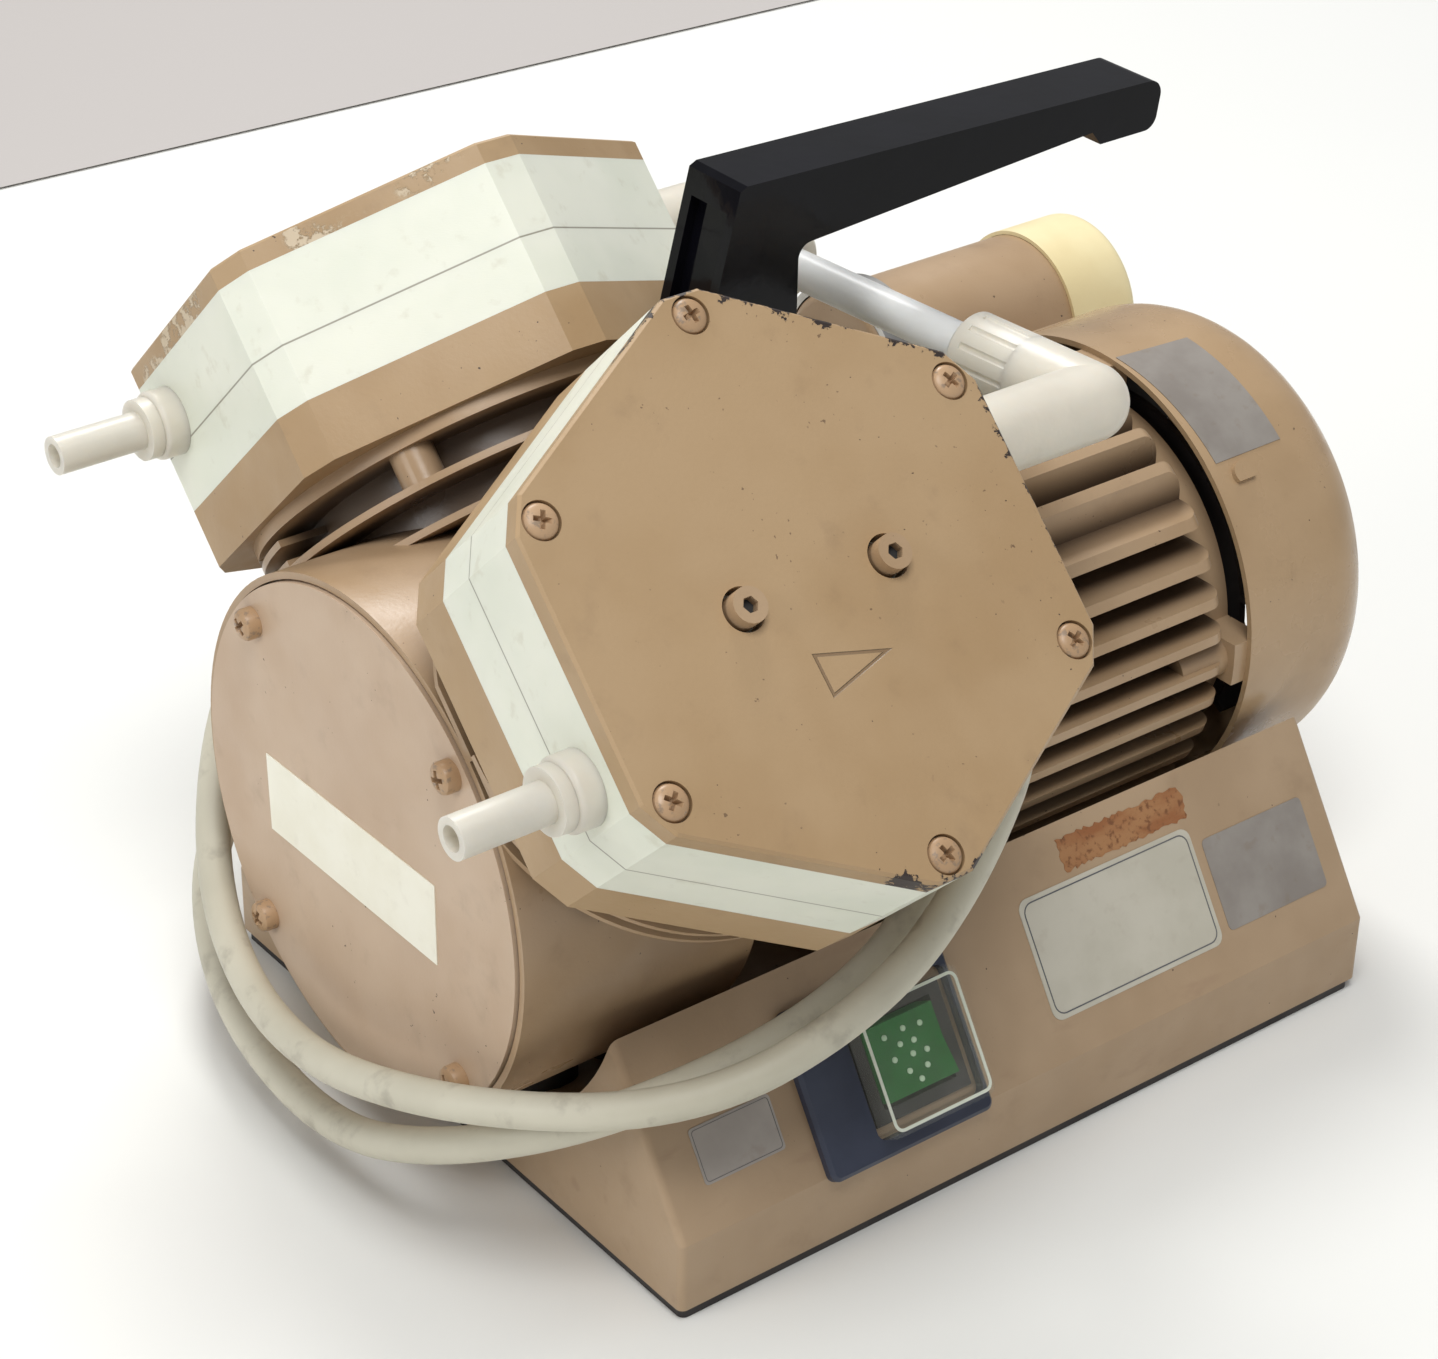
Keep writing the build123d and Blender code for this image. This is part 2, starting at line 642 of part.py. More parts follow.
def connecting_rod():
    # Big-end ring, tapered I-shaped bar and the round table under the diaphragm.
    table_high = FLANGE_FACE - DIAPHRAGM_THICK - THROW_ROOM
    table_low = table_high - 5.0
    foot = head_at(ROD_RING - 4) * Rectangle(ROD_WIDTH, 2.2 * ROD_BAR)
    top = head_at(table_low) * Rectangle(ROD_WIDTH, ROD_BAR)
    rod = loft([foot.face(), top.face()])
    for side in (-1, 1):
        pocket_low = head_at(ROD_RING + 6) * Pos(side * ROD_WIDTH / 2, 0) * Rectangle(5.0, 1.4 * ROD_BAR)
        pocket_high = head_at(table_low - 8) * Pos(side * ROD_WIDTH / 2, 0) * Rectangle(5.0, 0.6 * ROD_BAR)
        rod -= loft([pocket_low.face(), pocket_high.face()])
    rod += head_bar(CLAMP_RADIUS - 3, table_low, table_high)
    rod += along_x(ROD_RING, -ROD_WIDTH / 2, ROD_WIDTH / 2)
    rod -= along_x(ROD_BEARING_RADIUS, -ROD_WIDTH, ROD_WIDTH)
    return rod_turned(rod)


THROW_ROOM = 0.6


def clamp_disc():
    # Disc and stud that hold the middle of the diaphragm on the rod.
    low = FLANGE_FACE - DIAPHRAGM_THICK - THROW_ROOM
    disc = head_bar(CLAMP_RADIUS, low, low + CLAMP_THICK)
    disc = fillet(disc.edges().sort_by(lambda e: -e.center().Z)[0], 1.4)
    return rod_turned(disc)


def ball_bearing(left, outer, width):
    ring = along_x(outer, left, left + width)
    return ring - along_x(SHAFT_RADIUS + RUN_GAP, left - 1, left + width + 1)


# Motor
SHIELD_LEFT = MOTOR_RIGHT
SHIELD_RIGHT = 181.0
SHIELD_RADIUS = FAN_COVER_RADIUS - FAN_COVER_WALL
EAR_WIDTH = 12.0
EAR_CIRCLE = 55.0
EAR_SCREW = 2.0
FAN_BEARING_LEFT = 172.0
CORE_LEFT = 88.0
PAD_WIDTH = 62.0
FIN_ROUND = 6.0
FIN_LEFT = HEAD_STAGGER + NECK_FIN_RADIUS + CLEAR
FIN_RIGHT = MOTOR_RIGHT - 1.0
WINDING = 9.0


def fin_places():
    return [MOTOR_FIN_PITCH * step for step in range(-MOTOR_FIN_SIDE, MOTOR_FIN_SIDE + 1)]


def motor_fins():
    # Flat parallel fins, level on both sides and upright above and below, trimmed to one round outline.
    length = FIN_RIGHT - FIN_LEFT
    middle = HEAD_X + (FIN_LEFT + FIN_RIGHT) / 2
    plates = []
    for step in fin_places():
        inner = math.sqrt(MOTOR_ROOT ** 2 - step ** 2) - 2.0
        depth = MOTOR_FIN_TIP + 1 - inner
        out = inner + depth / 2
        for side in (-1, 1):
            level = Box(length, depth, MOTOR_FIN_THICK)
            upright = Box(length, MOTOR_FIN_THICK, depth)
            plates.append(Pos(middle, side * out, AXIS_HEIGHT + step) * level)
            plates.append(Pos(middle, step, AXIS_HEIGHT + side * out) * upright)
    outline = along_x(MOTOR_FIN_TIP, FIN_LEFT, FIN_RIGHT)
    outline = fillet(outline.edges().sort_by(Axis.X)[-1], FIN_ROUND)
    return [plate & outline for plate in plates]


def ear_places():
    # Four screw places round the motor, above, below and on both sides.
    spots = []
    for quarter in range(4):
        turn = math.radians(90 * quarter)
        spots.append((EAR_CIRCLE * math.sin(turn), EAR_CIRCLE * math.cos(turn)))
    return spots


def motor_housing():
    # Finned barrel with a plain foot pad below and a saddle for the capacitor.
    barrel = along_x(MOTOR_ROOT, CASE_RIGHT, MOTOR_RIGHT)
    barrel += motor_fins()
    pad = along_x(MOTOR_FIN_TIP, MOTOR_FOOT_X - 22, MOTOR_FOOT_X + 22)
    pad &= Pos(HEAD_X + MOTOR_FOOT_X, 0, AXIS_HEIGHT - MOTOR_FIN_TIP) * Box(60, PAD_WIDTH, 40)
    barrel += pad
    barrel += capacitor_bracket()
    for y, z in ear_places():
        barrel += along_x(EAR_WIDTH / 2, MOTOR_RIGHT - 16.0, MOTOR_RIGHT, y, AXIS_HEIGHT + z)
        barrel -= along_x(EAR_SCREW + SEAT_GAP, MOTOR_RIGHT - 10.4, MOTOR_RIGHT + 1, y, AXIS_HEIGHT + z)
    barrel -= along_x(MOTOR_BORE, CASE_RIGHT - 1, MOTOR_RIGHT + 1)
    for y in (-FOOT_Y, FOOT_Y):
        barrel -= bolt_hole(MOTOR_FOOT_X, y, MOTOR_FIN_TIP)
    return barrel


def stator():
    core = along_x(MOTOR_BORE, CORE_LEFT, CORE_LEFT + CORE_LENGTH)
    core += along_x(MOTOR_BORE - 6, CORE_LEFT - WINDING, CORE_LEFT + CORE_LENGTH + WINDING)
    core -= along_x(ROTOR_RADIUS + ROTOR_GAP, CORE_LEFT - 20, CORE_LEFT + CORE_LENGTH + 20)
    core -= along_x(ROTOR_RADIUS + 5, CORE_LEFT - 20, CORE_LEFT)
    return core - along_x(ROTOR_RADIUS + 5, CORE_LEFT + CORE_LENGTH, CORE_LEFT + CORE_LENGTH + 20)


def rotor_core():
    core = along_x(ROTOR_RADIUS, CORE_LEFT, CORE_LEFT + CORE_LENGTH)
    return core - along_x(SHAFT_RADIUS, CORE_LEFT - 1, CORE_LEFT + CORE_LENGTH + 1)


def fan_shield():
    # End shield that closes the barrel, holds the rear bearing and carries the fan cover on four ears.
    shield = along_x(MOTOR_ROOT, SHIELD_LEFT, SHIELD_RIGHT)
    shield += along_x(FAN_BEARING + 4, SHIELD_LEFT, SHIELD_RIGHT + 4.0)
    middle = HEAD_X + (SHIELD_LEFT + SHIELD_RIGHT) / 2
    thick = SHIELD_RIGHT - SHIELD_LEFT
    cross = Pos(middle, 0, AXIS_HEIGHT) * Box(thick, EAR_WIDTH, 3 * MOTOR_ROOT)
    cross += Pos(middle, 0, AXIS_HEIGHT) * Box(thick, 3 * MOTOR_ROOT, EAR_WIDTH)
    shield += cross & along_x(SHIELD_RADIUS, SHIELD_LEFT, SHIELD_RIGHT)
    for y, z in ear_places():
        shield -= along_x(EAR_SCREW + 0.2, SHIELD_LEFT - 1, SHIELD_RIGHT + 1, y, AXIS_HEIGHT + z)
    shield -= along_x(FAN_BEARING, SHIELD_LEFT - 1, FAN_BEARING_LEFT + BEARING_WIDTH)
    return shield - along_x(SHAFT_RADIUS + CLEAR, SHIELD_LEFT - 1, SHIELD_RIGHT + 9)


def shield_screws():
    screws = []
    for y, z in ear_places():
        screw = along_x(1.8 * EAR_SCREW, SHIELD_RIGHT, SHIELD_RIGHT + 2.4, y, AXIS_HEIGHT + z)
        screws.append(screw + along_x(EAR_SCREW, MOTOR_RIGHT - 10.0, SHIELD_RIGHT, y, AXIS_HEIGHT + z))
    return screws


FAN_BEARING = 17.0


def fan():
    # Hub, back disc and flat blades that pull air along the fins.
    wheel = along_x(16.0, FAN_LEFT, FAN_LEFT + FAN_WIDTH)
    wheel += along_x(FAN_RADIUS - 4, FAN_LEFT, FAN_LEFT + 2.0)
    axis = Axis((0, 0, AXIS_HEIGHT), (1, 0, 0))
    blade_middle = (HEAD_X + FAN_LEFT + FAN_WIDTH / 2, 0, AXIS_HEIGHT + FAN_RADIUS / 2 + 7)
    blade = Pos(*blade_middle) * Box(FAN_WIDTH, 2.0, FAN_RADIUS - 14)
    for index in range(FAN_BLADES):
        wheel += blade.rotate(axis, 360.0 * index / FAN_BLADES)
    return wheel - along_x(SHAFT_RADIUS, FAN_LEFT - 1, FAN_LEFT + FAN_WIDTH + 1)


COVER_SLOTS = 18
SLOT_IN = 20.0
SLOT_OUT = 40.0
SLOT_WIDTH = 5.0


def fan_cover():
    # Deep drawn cup with a rounded end and a ring of air slots.
    cup = along_x(FAN_COVER_RADIUS, FAN_RIM, FAN_COVER_END)
    cup = fillet(cup.edges().sort_by(Axis.X)[-1], FAN_COVER_ROUND)
    inner = along_x(FAN_COVER_RADIUS - FAN_COVER_WALL, FAN_RIM - 30, FAN_COVER_END - FAN_COVER_WALL)
    inner = fillet(inner.edges().sort_by(Axis.X)[-1], FAN_COVER_ROUND - FAN_COVER_WALL)
    cup -= inner
    slot = Rectangle(SLOT_OUT - SLOT_IN, SLOT_WIDTH)
    face = Plane(origin=(HEAD_X + FAN_COVER_END + 1, 0, AXIS_HEIGHT), x_dir=(0, 1, 0), z_dir=(1, 0, 0))
    for place in PolarLocations((SLOT_IN + SLOT_OUT) / 2, COVER_SLOTS):
        cup -= extrude(face * place * slot, amount=-6.0)
    for turn in LUG_TURNS:
        cup += cover_lug(turn)
    return cup


LUG_TURNS = (46.0, 134.0, 226.0, 314.0)
LUG_RADIUS = 3.4
LUG_RISE = 1.5
LUG_X = 185.0


def cover_lug(turn):
    # Small half-round bump pressed out of the fan cover's side.
    angle = math.radians(turn)
    out = Vector(0, math.sin(angle), math.cos(angle))
    start = Vector(HEAD_X + LUG_X, 0, AXIS_HEIGHT) + out * (FAN_COVER_RADIUS - FAN_COVER_WALL / 2)
    bump = Cylinder(LUG_RADIUS, FAN_COVER_WALL / 2 + LUG_RISE, align=(Align.CENTER, Align.CENTER, Align.MIN))
    bump &= Pos(0, LUG_RADIUS, 0) * Box(4 * LUG_RADIUS, 3 * LUG_RADIUS, 8 * LUG_RISE)
    return Plane(origin=start, x_dir=(1, 0, 0), z_dir=out) * bump


# Capacitor
CLAMP_WIDTH = 12.0
STRAP = 1.6
CLAMP_X = CAP_LEFT + 3.0


def capacitor_bracket():
    # Saddle cast on the rear of the barrel that the capacitor lies against.
    reach = math.hypot(CAP_Y, CAP_Z - AXIS_HEIGHT)
    turn = math.degrees(math.atan2(CAP_Y, CAP_Z - AXIS_HEIGHT))
    high = reach - CAP_RADIUS + 5.0
    arm = Pos(HEAD_X + CLAMP_X + CLAMP_WIDTH / 2 - 2, 0, AXIS_HEIGHT + (MOTOR_ROOT - 2 + high) / 2) * Box(
        CLAMP_WIDTH - 4, 22.0, high - MOTOR_ROOT + 2)
    arm = arm.rotate(Axis((0, 0, AXIS_HEIGHT), (1, 0, 0)), -turn)
    return arm - along_x(CAP_RADIUS + STRAP + SEAT_GAP, CAP_LEFT - 9, CAP_RIM, CAP_Y, CAP_Z)


def capacitor():
    can = along_x(CAP_RADIUS - 0.6, CAP_LEFT, CAP_RIM + 6.0, CAP_Y, CAP_Z)
    return fillet(can.edges().sort_by(Axis.X)[0], 2.4)


def capacitor_cap():
    cap = along_x(CAP_RADIUS + 0.6, CAP_RIM, CAP_RIM + CAP_COVER, CAP_Y, CAP_Z)
    cap = fillet(cap.edges().sort_by(Axis.X)[-1], 4.0)
    return cap - along_x(CAP_RADIUS - 0.5, CAP_RIM - 1, CAP_RIM + 6.1, CAP_Y, CAP_Z)


def capacitor_clamp():
    # Steel strap round the can.
    band = along_x(CAP_RADIUS + STRAP, CLAMP_X - 2, CLAMP_X + CLAMP_WIDTH - 2, CAP_Y, CAP_Z)
    return band - along_x(CAP_RADIUS - 0.5, CLAMP_X - 9, CLAMP_X + CLAMP_WIDTH + 9, CAP_Y, CAP_Z)


# Handle
HANDLE_POST_LEFT = 30.0
HANDLE_SHOULDER = 46.5
HANDLE_SCREW_X = (41.0, 56.0)
HANDLE_SCREW = 2.5
CHANNEL_DEPTH = 3.0
CHANNEL_EDGE = 3.0
LIP_LEFT = 161.0
LIP_DROP = 3.8
GRIP_RISE = 3.4


def handle():
    # Post between the heads and a cantilevered grip that ends in a small lip.
    grip_low = HANDLE_TOP - HANDLE_GRIP - 1.5
    tip_low = HANDLE_TOP - HANDLE_GRIP + GRIP_RISE
    outline = [
        (HANDLE_POST_RIGHT, HANDLE_FOOT),
        (HANDLE_POST_RIGHT, grip_low),
        (LIP_LEFT - 3, tip_low + 1.4),
        (LIP_LEFT, tip_low + 1.4 - LIP_DROP),
        (HANDLE_REACH - 2, tip_low + 1.4 - LIP_DROP),
        (HANDLE_REACH, HANDLE_TOP - 3.5),
        (HANDLE_SHOULDER + 2, HANDLE_TOP),
        (HANDLE_SHOULDER, HANDLE_TOP - 1.0),
        (HANDLE_POST_LEFT, HANDLE_FOOT),
    ]
    face = Polygon(*outline, align=None)
    body = extrude(Plane.XZ * face, amount=HANDLE_WIDTH / 2, both=True)
    inner = body.edges().filter_by(Axis.Y).sort_by_distance(Vector(HANDLE_POST_RIGHT, 0, grip_low))[0]
    tip = body.edges().filter_by(Axis.Y).sort_by_distance(Vector(HANDLE_REACH, 0, HANDLE_TOP - 3.5))[0]
    toe = body.edges().filter_by(Axis.Y).sort_by_distance(Vector(HANDLE_REACH - 2, 0, tip_low - 2.4))[0]
    body = fillet([inner, tip, toe], 4.0)
    lean = (HANDLE_SHOULDER - HANDLE_POST_LEFT) / (HANDLE_TOP - HANDLE_FOOT)
    channel_low = 8.0
    channel_high = HANDLE_TOP - HANDLE_FOOT - 7.0
    channel = Polygon(
        (HANDLE_POST_LEFT + lean * channel_low - 4.0, HANDLE_FOOT + channel_low),
        (HANDLE_POST_LEFT + lean * channel_low + CHANNEL_DEPTH, HANDLE_FOOT + channel_low),
        (HANDLE_POST_LEFT + lean * channel_high + CHANNEL_DEPTH, HANDLE_FOOT + channel_high),
        (HANDLE_POST_LEFT + lean * channel_high - 4.0, HANDLE_FOOT + channel_high),
        align=None)
    body -= extrude(Plane.XZ * channel, amount=HANDLE_WIDTH / 2 - CHANNEL_EDGE, both=True)
    for x in HANDLE_SCREW_X:
        body -= Pos(x, 0, HANDLE_FOOT - 1) * Cylinder(
            HANDLE_SCREW + SEAT_GAP, 9, align=(Align.CENTER, Align.CENTER, Align.MIN))
    return Pos(HEAD_X, 0, 0) * body


def handle_screws():
    screws = []
    for x in HANDLE_SCREW_X:
        screws.append(Pos(HEAD_X + x, 0, HANDLE_FOOT - 12) * Cylinder(
            HANDLE_SCREW, 19.5, align=(Align.CENTER, Align.CENTER, Align.MIN)))
    return screws


# Console base
BRIM = 2.0


def base_profile(inset):
    # Cross-section of the console: upright band, slope to the ridge, mirrored behind.
    half = BASE_DEPTH / 2 - inset
    ridge_out = BASE_RIDGE_OUT - inset
    rise = (MOTOR_RIDGE - BASE_RIDGE) * (BASE_DEPTH / 2 - BASE_RIDGE_OUT) / (BASE_RIDGE - BASE_BAND)
    top = MOTOR_RIDGE
    points = [
        (-half, MAT_THICK + inset),
        (-half, BASE_BAND),
        (-ridge_out + rise, top),
        (ridge_out - rise, top),
        (half, BASE_BAND),
        (half, MAT_THICK + inset),
    ]
    return Polygon(*points, align=None)


MOTOR_RIDGE = 70.5
TROUGH_STEP = 70.0


def base_block(inset, left, right):
    side = Plane(origin=((left + right) / 2, 0, 0), x_dir=(0, 1, 0), z_dir=(1, 0, 0))
    return side * extrude(base_profile(inset), amount=(right - left) / 2, both=True)


def trough(extra):
    # The round valley that the crankcase and the motor lie in.
    valley = along_x(CASE_TROUGH + extra, -HEAD_FROM_LEFT - 1, TROUGH_STEP + extra)
    return valley + along_x(MOTOR_TROUGH + extra, TROUGH_STEP - 2, BASE_LENGTH - HEAD_FROM_LEFT + 1)


def base_housing():
    half = BASE_LENGTH / 2
    shell = base_block(0, -half, half)
    corner_edges = shell.edges().filter_by(lambda e: abs(e.tangent_at(0.5).X) < 0.1 and abs(e.tangent_at(0.5).Z) > 0.3)
    shell = fillet(corner_edges, BRIM)
    shell -= trough(0)
    hollow = base_block(BASE_WALL, -half + BASE_WALL, half - BASE_WALL)
    hollow += Pos(0, 0, MAT_THICK + BASE_WALL) * Box(
        BASE_LENGTH - 2 * BASE_WALL, BASE_DEPTH - 2 * BASE_WALL, 2 * BASE_WALL + 2)
    hollow -= trough(BASE_WALL)
    shell -= hollow
    cut = Pos(COVER_SHIFT, 0, 0) * Box(BODY_WIDTH, BODY_HEIGHT, 4 * BASE_WALL)
    shell -= switch_plane(0) * cut
    shell -= rear_slope(GLAND_X, GLAND_UP, 0) * Cylinder(GLAND_NECK + SEAT_GAP, 3 * BASE_WALL)
    for x, y, radius in mount_places():
        shell -= Pos(HEAD_X + x, y, 0) * Cylinder(
            BOLT_RADIUS + SEAT_GAP, AXIS_HEIGHT, align=(Align.CENTER, Align.CENTER, Align.MIN))
    return shell


def mount_places():
    # Middle of each rubber buffer, with the radius of the body above it.
    spots = [(x, y, CASE_RADIUS) for x in FOOT_X for y in (-FOOT_Y, FOOT_Y)]
    return spots + [(MOTOR_FOOT_X, y, MOTOR_FIN_TIP) for y in (-FOOT_Y, FOOT_Y)]


def rubber_buffers():
    # Short rubber blocks between the console's valley and the pump.
    blocks = []
    for x, y, radius in mount_places():
        valley = CASE_TROUGH if radius == CASE_RADIUS else MOTOR_TROUGH
        post = Pos(HEAD_X + x, y, 0) * Cylinder(
            BUFFER_RADIUS, AXIS_HEIGHT, align=(Align.CENTER, Align.CENTER, Align.MIN))
        post -= Pos(HEAD_X + x, y, 0) * Cylinder(
            BOLT_RADIUS + SEAT_GAP, AXIS_HEIGHT, align=(Align.CENTER, Align.CENTER, Align.MIN))
        post &= along_x(valley - SEAT_GAP, x - 20, x + 20)
        post -= along_x(radius + SEAT_GAP, x - 21, x + 21)
        blocks.append(post)
    return blocks


def mounting_bolts():
    # Bolts up through the console's valley and the buffers into the pump.
    bolts = []
    for x, y, radius in mount_places():
        valley = CASE_TROUGH if radius == CASE_RADIUS else MOTOR_TROUGH
        seat = bottom_at(y - math.copysign(BOLT_HEAD, y), valley + BASE_WALL) - SEAT_GAP
        top = bottom_at(y, radius) + BOLT_GRIP - 1
        bolt = Pos(HEAD_X + x, y, seat - 3.5) * Cylinder(
            BOLT_HEAD, 3.5, align=(Align.CENTER, Align.CENTER, Align.MIN))
        bolt += Pos(HEAD_X + x, y, seat - 1) * Cylinder(
            BOLT_RADIUS, top - seat + 1, align=(Align.CENTER, Align.CENTER, Align.MIN))
        bolts.append(bolt)
    return bolts


def base_mat():
    # Dark bottom plate that closes the console and rests on the table.
    plate = Box(BASE_LENGTH - 2 * MAT_INSET, BASE_DEPTH - 2 * MAT_INSET, MAT_THICK,
                align=(Align.CENTER, Align.CENTER, Align.MIN))
    return fillet(plate.edges().filter_by(Axis.Z), BRIM)


# Switch
BODY_WIDTH = 28.0
BODY_HEIGHT = 26.0
COVER_WIDTH = 33.6
COVER_HEIGHT = 34.0
COVER_RISE = 9.0
COVER_SKIN = 1.0
PIVOT_DEEP = 3.0
PIVOT_RADIUS = 1.2
PIVOT_STUB = 0.9
BODY_LIP = 1.0
WELL_SIDE = 0.4
WELL_END = 1.6


def slope_plane(x, up, out):
    # On the console's front slope, at a height along it and a distance out of its face.
    turn = math.radians(SLOPE_ANGLE)
    y = -BASE_DEPTH / 2 + math.cos(turn) * up - math.sin(turn) * out
    z = BASE_BAND + math.sin(turn) * up + math.cos(turn) * out
    return Plane(origin=(HEAD_X + x, y, z), x_dir=(1, 0, 0), z_dir=(0, -math.sin(turn), math.cos(turn)))


def rear_slope(x, up, out):
    # The same place on the rear slope.
    spot = slope_plane(x, up, out)
    origin = (spot.origin.X, -spot.origin.Y, spot.origin.Z)
    return Plane(origin=origin, x_dir=(1, 0, 0), z_dir=(0, -spot.z_dir.Y, spot.z_dir.Z))


def switch_plane(out):
    return slope_plane(SWITCH_X, SWITCH_UP, out)


def switch_bezel():
    # Dark frame that holds the clear cover on the slope.
    frame = extrude(RectangleRounded(BEZEL_WIDTH, BEZEL_HEIGHT, 2.5), amount=BEZEL_THICK)
    frame = chamfer(frame.edges().group_by(Axis.Z)[-1], 1.0)
    frame -= Pos(COVER_SHIFT, 0, 0) * extrude(RectangleRounded(COVER_WIDTH, COVER_HEIGHT, 2.5), amount=BEZEL_THICK)
    return switch_plane(0) * frame


def switch_cover():
    # Clear splash cover over the rocker, held in the dark frame.
    cover = extrude(RectangleRounded(COVER_WIDTH, COVER_HEIGHT, 2.5), amount=COVER_RISE)
    cover = fillet(cover.edges().group_by(Axis.Z)[-1], 1.6)
    cover -= extrude(Rectangle(COVER_WIDTH - 2 * COVER_SKIN, COVER_HEIGHT - 2 * COVER_SKIN),
                     amount=COVER_RISE - COVER_SKIN)
    return switch_plane(0) * Pos(COVER_SHIFT, 0, 0) * cover


def switch_body():
    # Square-ended switch block through the slope, open towards its rocker.
    block = Pos(0, 0, -16.0) * Box(BODY_WIDTH, BODY_HEIGHT, 17.0, align=(Align.CENTER, Align.CENTER, Align.MIN))
    block += Box(BODY_WIDTH + 2 * BODY_LIP, BODY_HEIGHT + 2 * BODY_LIP, 1.0,
                 align=(Align.CENTER, Align.CENTER, Align.MIN))
    well = Pos(0, 0, -10.0) * Box(ROCKER_WIDTH + 2 * WELL_SIDE, ROCKER_HEIGHT + 2 * WELL_END, 20.0,
                                  align=(Align.CENTER, Align.CENTER, Align.MIN))
    pivot = Plane(origin=(0, 0, -PIVOT_DEEP), z_dir=(1, 0, 0))
    pin = pivot * Cylinder(PIVOT_RADIUS, ROCKER_WIDTH + 2 * PIVOT_STUB + 2 * SEAT_GAP)
    return switch_plane(0) * Pos(COVER_SHIFT, 0, 0) * (block - well - pin)


def switch_rocker():
    # Rocker with a hollow face, hinged across the switch.
    half = ROCKER_HEIGHT / 2
    tilt = math.radians(ROCKER_TILT)
    drop = half * math.tan(tilt)
    outline = [(-half, -5.0), (-half, 2.6 + drop), (0, 1.6), (half, 2.6 - drop), (half, -5.0), (0, -8.0)]
    side = Plane(origin=(0, 0, 0), x_dir=(0, 1, 0), z_dir=(1, 0, 0))
    rocker = side * extrude(Polygon(*outline, align=None), amount=ROCKER_WIDTH / 2, both=True)
    pivot = Plane(origin=(0, 0, -PIVOT_DEEP), z_dir=(1, 0, 0))
    rocker += pivot * Cylinder(PIVOT_RADIUS - RUN_GAP, ROCKER_WIDTH + 2 * PIVOT_STUB)
    return switch_plane(0) * Pos(COVER_SHIFT, 0, 0) * rocker


# Cord, strain relief and plug
GLAND_NECK = 6.4
GLAND_FLANGE = 9.0
GLAND_FLANGE_THICK = 2.4
GLAND_ROOT = 7.8
GLAND_TIP = 5.6
GLAND_RINGS = 4
GLAND_GROOVE = 1.2

# The cord's corners, from the front head's middle: out of the rear slope, once round the crankcase under
# the front head and over behind the handle, a second time outside the first, and down to the table behind.
CORD_CORNERS = [
    (141, 165, 60), (98, 172, 46), (44, 154, 40), (-4, 128, 38), (-47, 98, 34), (-68, 54, 18), (-71, 0, 12),
    (-69, -50, 36), (-46, -88, 56), (4, -99, 69), (38, -96, 88), (60, -79, 109), (83, -56, 143), (97, -2, 170),
    (105, 52, 153), (100, 98, 116), (68, 122, 96), (14, 126, 90), (-34, 101, 84), (-64, 66, 46), (-76, 12, 32),
    (-74, -60, 57), (-36, -103, 65), (10, -111, 79), (43, -105, 97), (77, -88, 122), (86, -50, 162),
    (86, 14, 178), (92, 72, 155), (95, 130, 120), (102, 176, 86), (122, 208, 48),
]
TAIL_START = (164, 222)
TAIL_END = (214, 222)
FIRST_RUN = 50.0
ARC_SHARE = 0.45
PLUG_RELIEF = 14.0
PLUG_RELIEF_TIP = 6.0
PLUG_RELIEF_ROOT = 8.0
BLADE_LENGTH = 16.0
BLADE_GAP = 12.7
BLADE_THICK = 1.5
BLADE_WIDTH = 6.3
BLADE_SINK = 3.0
BLADE_UP = 3.2
EARTH_RADIUS = 2.4
EARTH_LENGTH = 18.0
EARTH_DOWN = 8.0
EARTH_INSET = 0.6


def cord_route():
    # The corners of the cord's path, from inside the strain relief to inside the plug.
    start = rear_slope(GLAND_X, GLAND_UP, -GLAND_DEPTH).origin
    first = rear_slope(GLAND_X, GLAND_UP, FIRST_RUN - GLAND_DEPTH).origin
    places = [Vector(HEAD_X + x, y, z) for x, y, z in CORD_CORNERS]
    tail = [Vector(HEAD_X + x, y, CORD_ON_TABLE) for x, y in (TAIL_START, TAIL_END)]
    return [start, first] + places + tail


def cord_arcs(route):
    # One radius for each corner: as large as its two runs allow.
    arcs = []
    for before, at, after in zip(route, route[1:], route[2:]):
        run = min((at - before).length, (after - at).length)
        turn = math.radians((at - before).get_angle(after - at))
        arcs.append(ARC_SHARE * run / math.tan(turn / 2))
    return arcs


def power_cord():
    route = cord_route()
    arcs = cord_arcs(route)
    path = FilletPolyline(*route, radius=arcs)
    print("cord length", round(path.length, 1), "radii", [round(r) for r in arcs])
    section = Plane(origin=route[0], z_dir=route[1] - route[0]) * Circle(CORD_RADIUS)
    tube = sweep(section, path=path)
    expected = math.pi * CORD_RADIUS ** 2 * path.length
    print("cord volume over section times length", round(tube.volume / expected, 4))
    return tube


